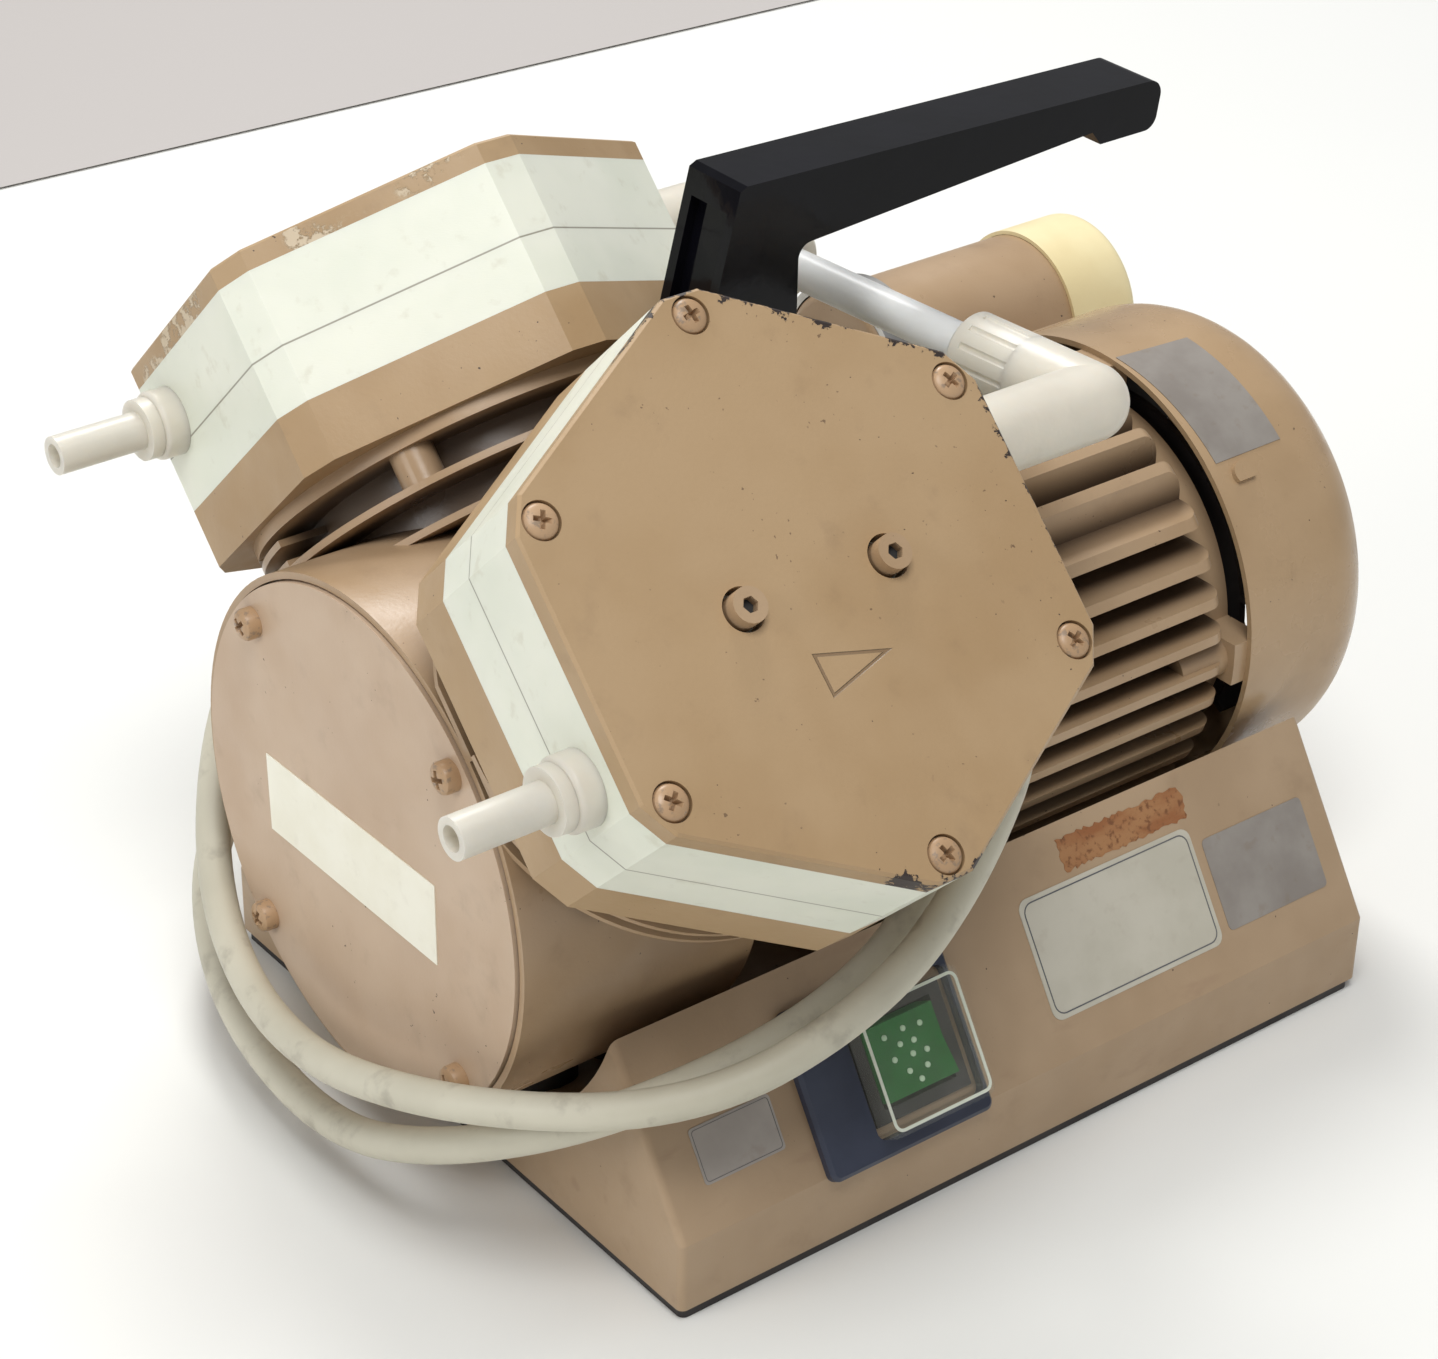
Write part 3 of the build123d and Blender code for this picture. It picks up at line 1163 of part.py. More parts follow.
def strain_relief():
    # Ribbed rubber sleeve in the rear slope: a flange on the skin, a neck through it and a lip inside.
    sleeve = stub(GLAND_FLANGE, 0, GLAND_FLANGE_THICK)
    sleeve += Pos(0, 0, GLAND_FLANGE_THICK) * Cone(
        GLAND_ROOT, GLAND_TIP, GLAND_LENGTH - GLAND_FLANGE_THICK, align=(Align.CENTER, Align.CENTER, Align.MIN))
    step = (GLAND_LENGTH - GLAND_FLANGE_THICK) / (GLAND_RINGS + 1)
    for ring in range(GLAND_RINGS):
        low = GLAND_FLANGE_THICK + step * (ring + 0.7)
        groove = stub(GLAND_FLANGE, low, low + GLAND_GROOVE) - stub(GLAND_TIP - 0.2, low - 1, low + 3)
        sleeve -= groove
    sleeve += stub(GLAND_NECK, -GLAND_DEPTH, 0)
    sleeve += stub(GLAND_FLANGE - 1, -GLAND_DEPTH, -BASE_WALL - SEAT_GAP)
    sleeve -= stub(CORD_RADIUS, -GLAND_DEPTH - 1, GLAND_LENGTH + 1)
    return rear_slope(GLAND_X, GLAND_UP, 0) * sleeve


def plug_plane():
    # Where the cord enters the plug's body, pointing along the blades.
    return Plane(origin=(HEAD_X + TAIL_END[0], TAIL_END[1], CORD_ON_TABLE), x_dir=(0, 1, 0), z_dir=(1, 0, 0))


def plug():
    # Moulded plug with two flat blades and a round earth pin.
    face = RectangleRounded(PLUG_WIDTH, PLUG_HEIGHT, 5.0)
    waist = RectangleRounded(0.62 * PLUG_WIDTH, 0.7 * PLUG_HEIGHT, 4.0)
    body = extrude(Pos(0, 0, PLUG_LENGTH * 0.6) * face, amount=PLUG_LENGTH * 0.4)
    body += loft([Plane.XY * waist, Plane.XY.offset(PLUG_LENGTH * 0.6) * face])
    body += Pos(0, 0, -PLUG_RELIEF) * Cone(PLUG_RELIEF_TIP, PLUG_RELIEF_ROOT, PLUG_RELIEF,
                                            align=(Align.CENTER, Align.CENTER, Align.MIN))
    body -= stub(CORD_RADIUS, -PLUG_RELIEF - 1, 0)
    for side in (-1, 1):
        blade = Pos(side * BLADE_GAP / 2, BLADE_UP, PLUG_LENGTH - BLADE_SINK) * Box(
            BLADE_THICK, BLADE_WIDTH, BLADE_LENGTH + BLADE_SINK, align=(Align.CENTER, Align.CENTER, Align.MIN))
        body += blade
    pin = Pos(0, -EARTH_DOWN, 0) * stub(EARTH_RADIUS, PLUG_LENGTH - BLADE_SINK, PLUG_LENGTH + EARTH_LENGTH)
    return plug_plane() * (body + chamfer(pin.edges().group_by(Axis.Z)[-1], EARTH_INSET))


def build_all():
    build_heads()
    keep("crankcase", crankcase())
    keep("crankcase_cover", crankcase_cover())
    keep("cover_gasket", cover_gasket())
    keep("cover_screws", Compound(children=cover_screws()))
    keep("shaft", shaft())
    keep("eccentric", eccentric())
    both_heads("rod_bearing", rod_bearing())
    both_heads("connecting_rod", connecting_rod())
    both_heads("clamp_disc", clamp_disc())
    keep("drive_bearing", ball_bearing(BEARING_LEFT, BEARING_RADIUS, BEARING_WIDTH))
    keep("fan_bearing", ball_bearing(FAN_BEARING_LEFT, FAN_BEARING, BEARING_WIDTH))
    keep("motor_housing", motor_housing())
    keep("stator", stator())
    keep("rotor_core", rotor_core())
    keep("fan_shield", fan_shield())
    keep("fan", fan())
    keep("fan_cover", fan_cover())
    keep("shield_screws", Compound(children=shield_screws()))
    keep("capacitor", capacitor())
    keep("capacitor_cap", capacitor_cap())
    keep("capacitor_clamp", capacitor_clamp())
    keep("handle", handle())
    keep("handle_screws", Compound(children=handle_screws()))
    keep("base_housing", base_housing())
    keep("base_mat", base_mat())
    keep("rubber_buffers", Compound(children=rubber_buffers()))
    keep("mounting_bolts", Compound(children=mounting_bolts()))
    keep("switch_bezel", switch_bezel())
    keep("switch_cover", switch_cover())
    keep("switch_body", switch_body())
    keep("switch_rocker", switch_rocker())
    keep("strain_relief", strain_relief())
    keep("power_cord", power_cord())
    keep("plug", plug())


build_all()
os.makedirs("parts", exist_ok=True)
for name, shape in nodes.items():
    export_step(shape, os.path.join("parts", name + ".step"))
print(len(nodes), "nodes written")
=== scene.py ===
import math

import bmesh
import bpy
import numpy as np
from mathutils import Matrix, Vector


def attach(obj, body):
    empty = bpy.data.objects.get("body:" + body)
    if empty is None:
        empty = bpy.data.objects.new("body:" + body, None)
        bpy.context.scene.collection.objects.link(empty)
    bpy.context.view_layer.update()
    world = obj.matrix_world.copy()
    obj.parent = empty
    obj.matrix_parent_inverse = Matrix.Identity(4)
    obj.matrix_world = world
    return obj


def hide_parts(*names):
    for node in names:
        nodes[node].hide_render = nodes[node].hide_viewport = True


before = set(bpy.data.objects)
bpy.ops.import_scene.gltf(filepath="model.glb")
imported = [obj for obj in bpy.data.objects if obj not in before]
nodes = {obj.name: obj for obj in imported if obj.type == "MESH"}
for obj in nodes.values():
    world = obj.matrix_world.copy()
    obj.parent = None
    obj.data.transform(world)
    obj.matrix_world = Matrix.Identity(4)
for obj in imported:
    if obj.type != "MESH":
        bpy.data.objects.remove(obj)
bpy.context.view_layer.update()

# Sizes in metres, in the same frame as the CAD source
MM = 0.001
AXIS_Z = 0.0908
HEAD_X = -0.0784
STAGGER = 0.0168
HEAD_FACE = 0.1376
HEAD_SCREWS = 0.0644
COVER_SCREWS = 0.0599
SCREW_SINK = 0.0018
SOCKET_OFFSET = 0.0199
COVER_X = -0.0586
PLATE_SEAM = 0.1122
SLOPE_FOOT = (-0.099, 0.0228)
SLOPE_TURN = math.atan2(0.0432, 0.028)
HALF = math.sqrt(0.5)

# Photograph's frame in pixels, and the camera that took it
PHOTO = (1438.0, 1359.0)
LENS = 88.95
SENSOR = 36.0
EYE = Vector((-0.5053, -0.6056, 0.5606))
CAM_RIGHT = Vector((0.7910, -0.6116, 0.0156))
CAM_UP = Vector((0.3037, 0.4147, 0.8579))
CAM_BACK = Vector((-0.5311, -0.6739, 0.5137))


def put(name, data):
    # A new object, linked into the scene.
    obj = bpy.data.objects.new(name, data)
    bpy.context.scene.collection.objects.link(obj)
    return obj


def make_camera():
    # The camera that took the photograph.
    data = bpy.data.cameras.new("camera")
    data.lens = LENS
    data.sensor_width = SENSOR
    data.sensor_fit = "HORIZONTAL"
    data.clip_start = 0.01
    data.clip_end = 20.0
    cam = put("camera", data)
    turn = Matrix((CAM_RIGHT, CAM_UP, CAM_BACK)).transposed().to_4x4()
    cam.matrix_world = Matrix.Translation(EYE) @ turn
    bpy.context.scene.camera = cam


def sight(px, py):
    # Direction from the camera through a pixel of the photograph.
    per_pixel = SENSOR / LENS / PHOTO[0]
    across = (px - PHOTO[0] / 2) * per_pixel
    upward = (PHOTO[1] / 2 - py) * per_pixel
    return (CAM_RIGHT * across + CAM_UP * upward - CAM_BACK).normalized()


def on_plane(px, py, point, normal):
    # Where the camera's line through a pixel meets a plane.
    ray = sight(px, py)
    return EYE + ray * ((Vector(point) - EYE).dot(normal) / ray.dot(normal))


make_camera()


def rgb(r, g, b):
    # A colour as the eye names it, turned into linear light.
    values = [c / 255.0 for c in (r, g, b)]
    return [c / 12.92 if c < 0.04045 else ((c + 0.055) / 1.055) ** 2.4 for c in values] + [1.0]


class Finish:
    # A procedural material, built up from the row frame's coordinates.
    def __init__(self, name, rough=0.5, metallic=0.0):
        self.mat = bpy.data.materials.new(name)
        self.mat.use_nodes = True
        self.tree = self.mat.node_tree
        self.shader = self.tree.nodes["Principled BSDF"]
        self.shader.inputs["Roughness"].default_value = rough
        self.shader.inputs["Metallic"].default_value = metallic
        self.place = self.tree.nodes.new("ShaderNodeTexCoord").outputs["Object"]

    def set(self, socket, value):
        self.shader.inputs[socket].default_value = value
        return self

    def join(self, source, target):
        if isinstance(source, (int, float)):
            target.default_value = source
        elif isinstance(source, (list, tuple)):
            target.default_value = source
        else:
            self.tree.links.new(source, target)

    def math(self, op, a, b=0.0):
        node = self.tree.nodes.new("ShaderNodeMath")
        node.operation = op
        self.join(a, node.inputs[0])
        self.join(b, node.inputs[1])
        return node.outputs[0]

    def along(self, axis, offset=0.0):
        # Distance along a direction, less an offset.
        node = self.tree.nodes.new("ShaderNodeVectorMath")
        node.operation = "DOT_PRODUCT"
        self.tree.links.new(self.place, node.inputs[0])
        node.inputs[1].default_value = axis
        return self.math("SUBTRACT", node.outputs["Value"], offset)

    def distance(self, a, b):
        # Length of the vector with these two parts.
        squares = self.math("ADD", self.math("MULTIPLY", a, a), self.math("MULTIPLY", b, b))
        return self.math("SQRT", squares)

    def noise(self, size, detail=4.0, shape=(1, 1, 1), shift=0.0, rough=0.55):
        # Soft noise whose blotches are about this many metres across.
        scale = self.tree.nodes.new("ShaderNodeMapping")
        scale.inputs["Scale"].default_value = [s / size for s in shape]
        scale.inputs["Location"].default_value = (shift, shift * 1.7, shift * 2.3)
        self.tree.links.new(self.place, scale.inputs["Vector"])
        node = self.tree.nodes.new("ShaderNodeTexNoise")
        node.inputs["Scale"].default_value = 1.0
        node.inputs["Detail"].default_value = detail
        node.inputs["Roughness"].default_value = rough
        self.tree.links.new(scale.outputs[0], node.inputs["Vector"])
        return node.outputs["Fac"]

    def span(self, value, low, high, out_low=0.0, out_high=1.0):
        node = self.tree.nodes.new("ShaderNodeMapRange")
        node.interpolation_type = "SMOOTHSTEP"
        self.join(value, node.inputs["Value"])
        node.inputs["From Min"].default_value = low
        node.inputs["From Max"].default_value = high
        node.inputs["To Min"].default_value = out_low
        node.inputs["To Max"].default_value = out_high
        return node.outputs["Result"]

    def blend(self, amount, first, second):
        node = self.tree.nodes.new("ShaderNodeMix")
        node.data_type = "RGBA"
        self.join(amount, node.inputs["Factor"])
        self.join(first, node.inputs[6])
        self.join(second, node.inputs[7])
        return node.outputs[2]

    def mottle(self, size, first, second, detail=3.0, low=0.3, high=0.7):
        # Two tones that drift into each other, in blotches of a given size.
        return self.blend(self.span(self.noise(size, detail), low, high), first, second)

    def colour(self, value):
        self.join(value, self.shader.inputs["Base Color"])
        return self

    def rough(self, value):
        self.join(value, self.shader.inputs["Roughness"])
        return self

    def bump(self, height, depth):
        node = self.tree.nodes.new("ShaderNodeBump")
        node.inputs["Distance"].default_value = depth
        node.inputs["Strength"].default_value = 1.0
        self.join(height, node.inputs["Height"])
        self.tree.links.new(node.outputs[0], self.shader.inputs["Normal"])
        return self


def grain(f, size=0.0011, depth=0.00003):
    # Fine unevenness of a sprayed or moulded surface.
    return f.bump(f.noise(size, 2.0), depth)


def paint(name, base, shade, chips=None, rough=0.42):
    # Semi-gloss machine paint with cloudy tone, handling marks and small dark specks.
    f = Finish(name)
    tone = f.mottle(0.045, base, shade, 3.0, 0.35, 0.68)
    grime = f.span(f.noise(0.013, 6.0, shift=3.1), 0.56, 0.78, 0.0, 0.22)
    tone = f.blend(grime, tone, rgb(124, 100, 76))
    specks = f.span(f.noise(0.0013, 1.0, shift=7.7), 0.755, 0.785)
    sparse = f.span(f.noise(0.02, 1.0, shift=5.0), 0.5, 0.62)
    tone = f.blend(f.math("MULTIPLY", specks, sparse), tone, rgb(74, 58, 44))
    height = f.noise(0.0012, 2.0)
    if chips:
        tone, height = chips(f, tone, height)
    f.colour(tone)
    f.rough(f.span(f.noise(0.02, 4.0, shift=1.3), 0.3, 0.7, rough - 0.07, rough + 0.12))
    f.set("Specular IOR Level", 0.45)
    return f.bump(height, 0.00004).mat


TAN = rgb(176, 148, 112)
TAN_SHADE = rgb(167, 138, 101)
CASE = rgb(176, 149, 118)
CASE_SHADE = rgb(164, 136, 104)
DARK_METAL = rgb(52, 42, 38)
# Colour of the painted shade deep between fins
FIN_SHADE = rgb(66, 50, 38)


def head_axes(side):
    # Direction up the head's face, and the middle of the head along the crank.
    return (0.0, -side * HALF, HALF), HEAD_X + (STAGGER if side > 0 else 0.0)


# Engraved arrow's corners in millimetres, (x, up) from the head's middle
ARROW = ((-9.15, -14.05), (10.54, -19.16), (-8.84, -24.59))
# Half the head's width across flats, and how much further its upper and lower edges reach
HEAD_FLAT = 0.0629
EDGE_REACH = 0.0069
# How far the paint may be chipped in from the rim of the front and the rear plate
CHIP_REACH = {-1: 0.0042, 1: 0.0013}


def head_marks(side):
    # Chipped rim, rubbed corners and the engraved arrow outline of one pressure plate, with painted shade
    # in the arrow's groove.
    def marks(f, tone, height):
        up, middle = head_axes(side)
        x = f.along((1, 0, 0), middle)
        v = f.along(up, AXIS_Z * HALF)
        edge = f.math("ABSOLUTE", x)
        for slant in (1, -1):
            other = f.math("ADD", f.math("MULTIPLY", x, 0.5), f.math("MULTIPLY", v, slant * 0.8660))
            edge = f.math("MAXIMUM", edge, f.math("ABSOLUTE", other))
        edge = f.math("MAXIMUM", edge, f.math("SUBTRACT", f.math("ABSOLUTE", v), EDGE_REACH))
        gap = f.math("SUBTRACT", HEAD_FLAT, edge)
        flake = f.noise(0.0042, 6.0, shift=2.0, rough=0.7)
        place = f.span(f.noise(0.028, 1.0, shift=11.0), 0.52, 0.66)
        if side < 0:
            right = f.span(f.math("ADD", x, f.math("MULTIPLY", v, 0.9)), 0.035, 0.065)
            place = f.math("MULTIPLY", place, f.span(x, -0.03, -0.01, 0.0, 0.75))
            place = f.math("MAXIMUM", place, f.math("MULTIPLY", right, 0.8))
        chipped = f.math("MULTIPLY", f.span(flake, 0.44, 0.72), place)
        reach = f.math("MULTIPLY", chipped, CHIP_REACH[side])
        bare = f.span(f.math("SUBTRACT", reach, gap), 0.0, 0.00025)
        bare_colour = DARK_METAL if side < 0 else rgb(200, 182, 154)
        tone = f.blend(bare, tone, bare_colour)
        pits = f.math("MULTIPLY", f.span(f.noise(0.0016, 2.0, shift=4.0), 0.72, 0.75),
                      f.span(f.noise(0.025, 1.0, shift=15.0), 0.5, 0.6))
        tone = f.blend(f.math("MULTIPLY", pits, 0.7), tone, rgb(92, 70, 52))
        line = None
        for index in range(3):
            (ax, av), (bx, bv) = ARROW[index], ARROW[(index + 1) % 3]
            length = math.hypot(bx - ax, bv - av)
            nx, nv = -(bv - av) / length, (bx - ax) / length
            level = nx * ax + nv * av
            across = f.math("ADD", f.math("MULTIPLY", x, nx), f.math("MULTIPLY", v, nv))
            away = f.math("SUBTRACT", across, level * MM)
            line = away if line is None else f.math("MAXIMUM", line, away)
        near = f.math("ABSOLUTE", f.math("ADD", line, 0.0004))
        groove_and_shade = f.span(near, 0.00045, 0.0002)
        # Painted shade darkens the groove; the same mask cuts it into the bump.
        tone = f.blend(f.math("MULTIPLY", groove_and_shade, 0.62), tone, rgb(104, 80, 58))
        height = f.math("SUBTRACT", height, f.math("MULTIPLY", groove_and_shade, 9.0))
        return tone, f.math("SUBTRACT", height, f.math("MULTIPLY", bare, 4.0))
    return marks


def motor_fin_shade(f, tone, height):
    # Painted shade in the gaps between the motor's fins, darkest at their roots.
    depth = f.distance(f.along((0, 1, 0)), f.along((0, 0, 1), AXIS_Z))
    return f.blend(f.span(depth, 0.0622, 0.0545, 0.0, 0.9), tone, FIN_SHADE), height


def neck_fin_shade(f, tone, height):
    # Painted shade between the fins of the two necks.
    dirt_and_shade = 0.0
    for side in (-1, 1):
        up, middle = head_axes(side)
        reach = f.distance(f.along((1, 0, 0), middle), f.along(up, AXIS_Z * HALF))
        outward = f.along((0, side * HALF, HALF), AXIS_Z * HALF)
        depth = f.span(reach, 0.0598, 0.0515, 0.0, 0.82)
        gap = f.math("MULTIPLY", depth, f.span(outward, 0.052, 0.056))
        dirt_and_shade = f.math("MAXIMUM", gap, dirt_and_shade)
    return f.blend(dirt_and_shade, tone, FIN_SHADE), height


def white_plate(side):
    # Dense white fluoroplastic: greenish cream, slightly waxy, with dust and a dark line
    # where the head plate meets the middle plate.
    f = Finish("white_plate", 0.38)
    tone = f.mottle(0.03, rgb(232, 233, 218), rgb(222, 225, 209))
    dust = f.math("MULTIPLY", f.span(f.noise(0.006, 5.0, shift=2.0), 0.58, 0.75), 0.3)
    tone = f.blend(dust, tone, rgb(190, 184, 160))
    away = f.math("ABSOLUTE", f.along((0, side * HALF, HALF), AXIS_Z * HALF + PLATE_SEAM))
    f.colour(f.blend(f.span(away, 0.0003, 0.00012, 0.0, 0.75), tone, rgb(120, 112, 92)))
    f.set("Subsurface Weight", 0.12)
    f.set("Subsurface Radius", (0.004, 0.004, 0.003))
    f.set("Subsurface Scale", 1.0)
    return f.bump(f.noise(0.0015, 3.0, shape=(1, 1, 6)), 0.00002).mat


def milky(name, tint, clear):
    # Translucent natural polypropylene.
    f = Finish(name, 0.32)
    f.colour(f.mottle(0.02, tint, [0.93 * c for c in tint[:3]] + [1.0]))
    f.set("Transmission Weight", clear)
    f.set("IOR", 1.35)
    f.set("Subsurface Weight", 0.45)
    f.set("Subsurface Radius", (0.008, 0.007, 0.006))
    f.set("Subsurface Scale", 1.0)
    return f.bump(f.noise(0.003, 3.0), 0.00005).mat


def plastic(name, base, second, rough, size=0.0012, depth=0.00003, cloud=0.03, shine=0.5):
    # Moulded plastic or rubber in two close tones.
    f = Finish(name)
    f.set("Specular IOR Level", shine)
    f.colour(f.mottle(cloud, base, second, 4.0, 0.35))
    f.rough(f.span(f.noise(0.012, 4.0, shift=2.0), 0.3, 0.7, rough - 0.05, rough + 0.08))
    return grain(f, size, depth).mat


def metal(name, base, second, rough):
    # Bare metal in two close tones.
    f = Finish(name, rough, 1.0)
    f.colour(f.mottle(0.008, base, second, 5.0))
    return grain(f, 0.0006, 0.00001).mat


def cord_finish():
    # Matt vinyl sheath, greyish beige, with handling smudges.
    f = Finish("cord_sheath", 0.5)
    tone = f.mottle(0.05, rgb(206, 201, 182), rgb(190, 185, 166), 4.0)
    smudge = f.math("MULTIPLY", f.span(f.noise(0.011, 5.0, shift=4.0), 0.54, 0.72), 0.55)
    f.colour(f.blend(smudge, tone, rgb(150, 143, 128)))
    return f.bump(f.noise(0.002, 3.0), 0.00005).mat


def base_finish():
    # Console paint with faint scuffs.
    def scuffs(f, tone, height):
        scuff = f.span(f.noise(0.01, 6.0, shape=(0.35, 1, 1), shift=9.0), 0.6, 0.72)
        return f.blend(f.math("MULTIPLY", scuff, 0.35), tone, rgb(150, 122, 98)), height
    return paint("console_paint", rgb(176, 151, 122), rgb(165, 140, 111), scuffs, 0.42)


def clear_plastic():
    # Clear moulding, whose thin walls show as a faint pale film.
    f = Finish("clear_cover", 0.12)
    f.colour(f.mottle(0.01, rgb(236, 238, 224), rgb(214, 218, 200)))
    f.set("Alpha", 0.05)
    f.set("Specular IOR Level", 0.6)
    return f.bump(f.noise(0.006, 2.0), 0.00003).mat


def rocker_glow():
    # Green moulding with a faint painted glow.
    f = Finish("rocker_green_glow", 0.3)
    f.colour(f.mottle(0.008, rgb(8, 88, 16), rgb(16, 104, 30), 2.0))
    # Painted glow: faint emission that brightens the green moulding.
    f.set("Emission Color", rgb(30, 150, 70))
    f.set("Emission Strength", 0.05)
    return grain(f).mat


def label_finish(name, base, edge, rough=0.45, metallic=0.0, wear=0.3):
    # Bare printed film with a little dirt.
    f = Finish(name, rough, metallic)
    tone = f.mottle(0.02, base, edge, 4.0, 0.35)
    dirt_and_shade = f.math("MULTIPLY", f.span(f.noise(0.005, 6.0, shift=6.0), 0.56, 0.72), wear)
    f.colour(f.blend(dirt_and_shade, tone, rgb(140, 122, 100)))
    return f.bump(f.noise(0.004, 3.0), 0.00004).mat


tan_paint = paint("machine_paint", TAN, TAN_SHADE)
case_paint = paint("case_paint", CASE, CASE_SHADE, rough=0.34)
motor_paint = paint("motor_paint", CASE, CASE_SHADE, motor_fin_shade, 0.34)
crank_paint = paint("crank_paint", CASE, CASE_SHADE, neck_fin_shade, 0.34)
hood_paint = paint("hood_paint", rgb(178, 150, 116), rgb(168, 140, 106), rough=0.27)
cover_paint = paint("cover_paint", rgb(197, 173, 148), rgb(188, 162, 136))
black_gloss = plastic("handle_black", rgb(6, 6, 10), rgb(10, 10, 16), 0.1, 0.004, shine=0.16)
rubber = plastic("rubber_black", rgb(42, 42, 42), rgb(54, 53, 51), 0.65)
bezel_blue = plastic("bezel_blue", rgb(44, 49, 66), rgb(58, 64, 82), 0.4)
mat_black = plastic("mat_black", rgb(46, 42, 42), rgb(60, 56, 54), 0.6)
cream = plastic("cap_cream", rgb(238, 224, 178), rgb(230, 213, 164), 0.42)
steel = metal("bright_steel", rgb(190, 188, 184), rgb(168, 165, 160), 0.32)
core = metal("core_steel", rgb(108, 106, 104), rgb(86, 84, 82), 0.5)
alloy = metal("cast_alloy", rgb(176, 174, 170), rgb(154, 152, 148), 0.48)
brass = metal("blade_brass", rgb(214, 182, 110), rgb(196, 162, 92), 0.3)
white_1, white_2 = white_plate(-1), white_plate(1)
nozzle_milk = milky("nozzle_milk", rgb(238, 231, 216), 0.22)
tube_milk = milky("tube_milk", rgb(248, 246, 240), 0.06)

FINISHES = {
    "pressure_plate_1": paint("front_plate_paint", TAN, TAN_SHADE, head_marks(-1)),
    "pressure_plate_2": paint("rear_plate_paint", TAN, TAN_SHADE, head_marks(1)),
    "head_flange_1": tan_paint, "head_flange_2": tan_paint, "centre_screws": case_paint,
    "head_plate_1": white_1, "middle_plate_1": white_1,
    "head_plate_2": white_2, "middle_plate_2": white_2,
    "hose_nozzle_1": nozzle_milk, "hose_nozzle_2": nozzle_milk, "elbow_1": nozzle_milk,
    "elbow_2": nozzle_milk, "union_nut_1": nozzle_milk, "union_nut_2": nozzle_milk,
    "connecting_tube": tube_milk, "crankcase": crank_paint, "crankcase_cover": cover_paint,
    "motor_housing": motor_paint, "fan_shield": case_paint, "fan_cover": hood_paint,
    "capacitor": case_paint, "capacitor_cap": cream, "capacitor_clamp": steel,
    "handle": black_gloss,
    "base_housing": base_finish(), "base_mat": mat_black, "switch_bezel": bezel_blue,
    "switch_cover": clear_plastic(), "switch_body": mat_black, "switch_rocker": rocker_glow(),
    "strain_relief": rubber, "plug": mat_black, "fan": mat_black,
    "stator": core, "rotor_core": core,
}
for name in ("diaphragm_1", "diaphragm_2", "valve_sheet_1", "valve_sheet_2",
             "cover_gasket", "rubber_buffers"):
    FINISHES[name] = rubber
for name in ("connecting_rod_1", "connecting_rod_2", "clamp_disc_1", "clamp_disc_2"):
    FINISHES[name] = alloy


def dress(obj, mat):
    # The material as the only one of an object.
    obj.data.materials.clear()
    obj.data.materials.append(mat)


for name, node in nodes.items():
    dress(node, FINISHES.get(name, steel))


def add_piece(name, mesh, mat, body):
    # A piece of the scene's own that rides on a body, with its material slot if it has one.
    obj = put(name, mesh)
    dress(obj, mat)
    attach(obj, body)
    return obj


# Corners of the cord's route in millimetres, measured from the front head's middle. They are the
# CAD source's, but for (-45, -87, 58) and (4, -99, 71), which lie 2 mm away to match the photograph
CORD_ROUTE = [
    (172, 81.96, 35.91), (172, 123.91, 63.11), (141, 165, 60), (98, 172, 46), (44, 154, 40),
    (-4, 128, 38), (-47, 98, 34), (-68, 54, 18), (-71, 0, 12), (-69, -50, 36), (-45, -87, 58),
    (4, -99, 71), (38, -96, 88), (60, -79, 109), (83, -56, 143), (97, -2, 170), (105, 52, 153),
    (100, 98, 116), (68, 122, 96), (14, 126, 90), (-34, 101, 84), (-64, 66, 46), (-76, 12, 32),
    (-74, -60, 57), (-36, -103, 65), (10, -111, 79), (43, -105, 97), (77, -88, 122), (86, -50, 162),
    (86, 14, 178), (92, 72, 155), (95, 130, 120), (102, 176, 86), (122, 208, 48), (164, 222, 13),
    (214, 222, 13),
]
CORD_RADIUS = 0.0045


def make_cord():
    # Round sheath along the route, in place of the source's plain cord.
    curve = bpy.data.curves.new("mains_cord", "CURVE")
    curve.dimensions = "3D"
    line = curve.splines.new("NURBS")
    line.points.add(len(CORD_ROUTE) - 1)
    for point, (x, y, z) in zip(line.points, CORD_ROUTE):
        point.co = (HEAD_X + x * MM, y * MM, z * MM, 1.0)
    line.order_u = 3
    line.use_endpoint_u = True
    line.resolution_u = 12
    curve.bevel_depth = CORD_RADIUS
    curve.bevel_resolution = 6
    curve.use_fill_caps = True
    cord = put("mains_cord", curve)
    cord.data.materials.append(cord_finish())
    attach(cord, "pump_body")
    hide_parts("power_cord")
    return cord


def finished(bm, name):
    # The mesh that an edit mesh holds.
    mesh = bpy.data.meshes.new(name)
    bm.to_mesh(mesh)
    bm.free()
    return mesh


def joined(name, template, places):
    # One mesh that holds a copy of a template at each place.
    out = bmesh.new()
    for place in places:
        copy = template.copy()
        copy.transform(place)
        out.from_mesh(copy)
        bpy.data.meshes.remove(copy)
    return finished(out, name)


def smooth(mesh, angle=35.0):
    # Smooth shading, with edges sharper than the angle kept crisp.
    for face in mesh.polygons:
        face.use_smooth = True
    mesh.set_sharp_from_angle(angle=math.radians(angle))
    return mesh


def turned(profile, steps=40):
    # A body of revolution about Z from (radius, height) pairs in millimetres.
    bm = bmesh.new()
    rings = []
    for radius, height in profile:
        if radius == 0:
            rings.append([bm.verts.new((0, 0, height * MM))])
            continue
        ring = []
        for step in range(steps):
            turn = 2 * math.pi * step / steps
            x, y = radius * math.cos(turn), radius * math.sin(turn)
            ring.append(bm.verts.new((x * MM, y * MM, height * MM)))
        rings.append(ring)
    for low, high in zip(rings, rings[1:]):
        for step in range(steps):
            after = (step + 1) % steps
            if len(low) == 1:
                bm.faces.new((low[0], high[after], high[step]))
            elif len(high) == 1:
                bm.faces.new((low[step], low[after], high[0]))
            else:
                bm.faces.new((low[step], low[after], high[after], high[step]))
    bmesh.ops.recalc_face_normals(bm, faces=bm.faces)
    return finished(bm, "turned")


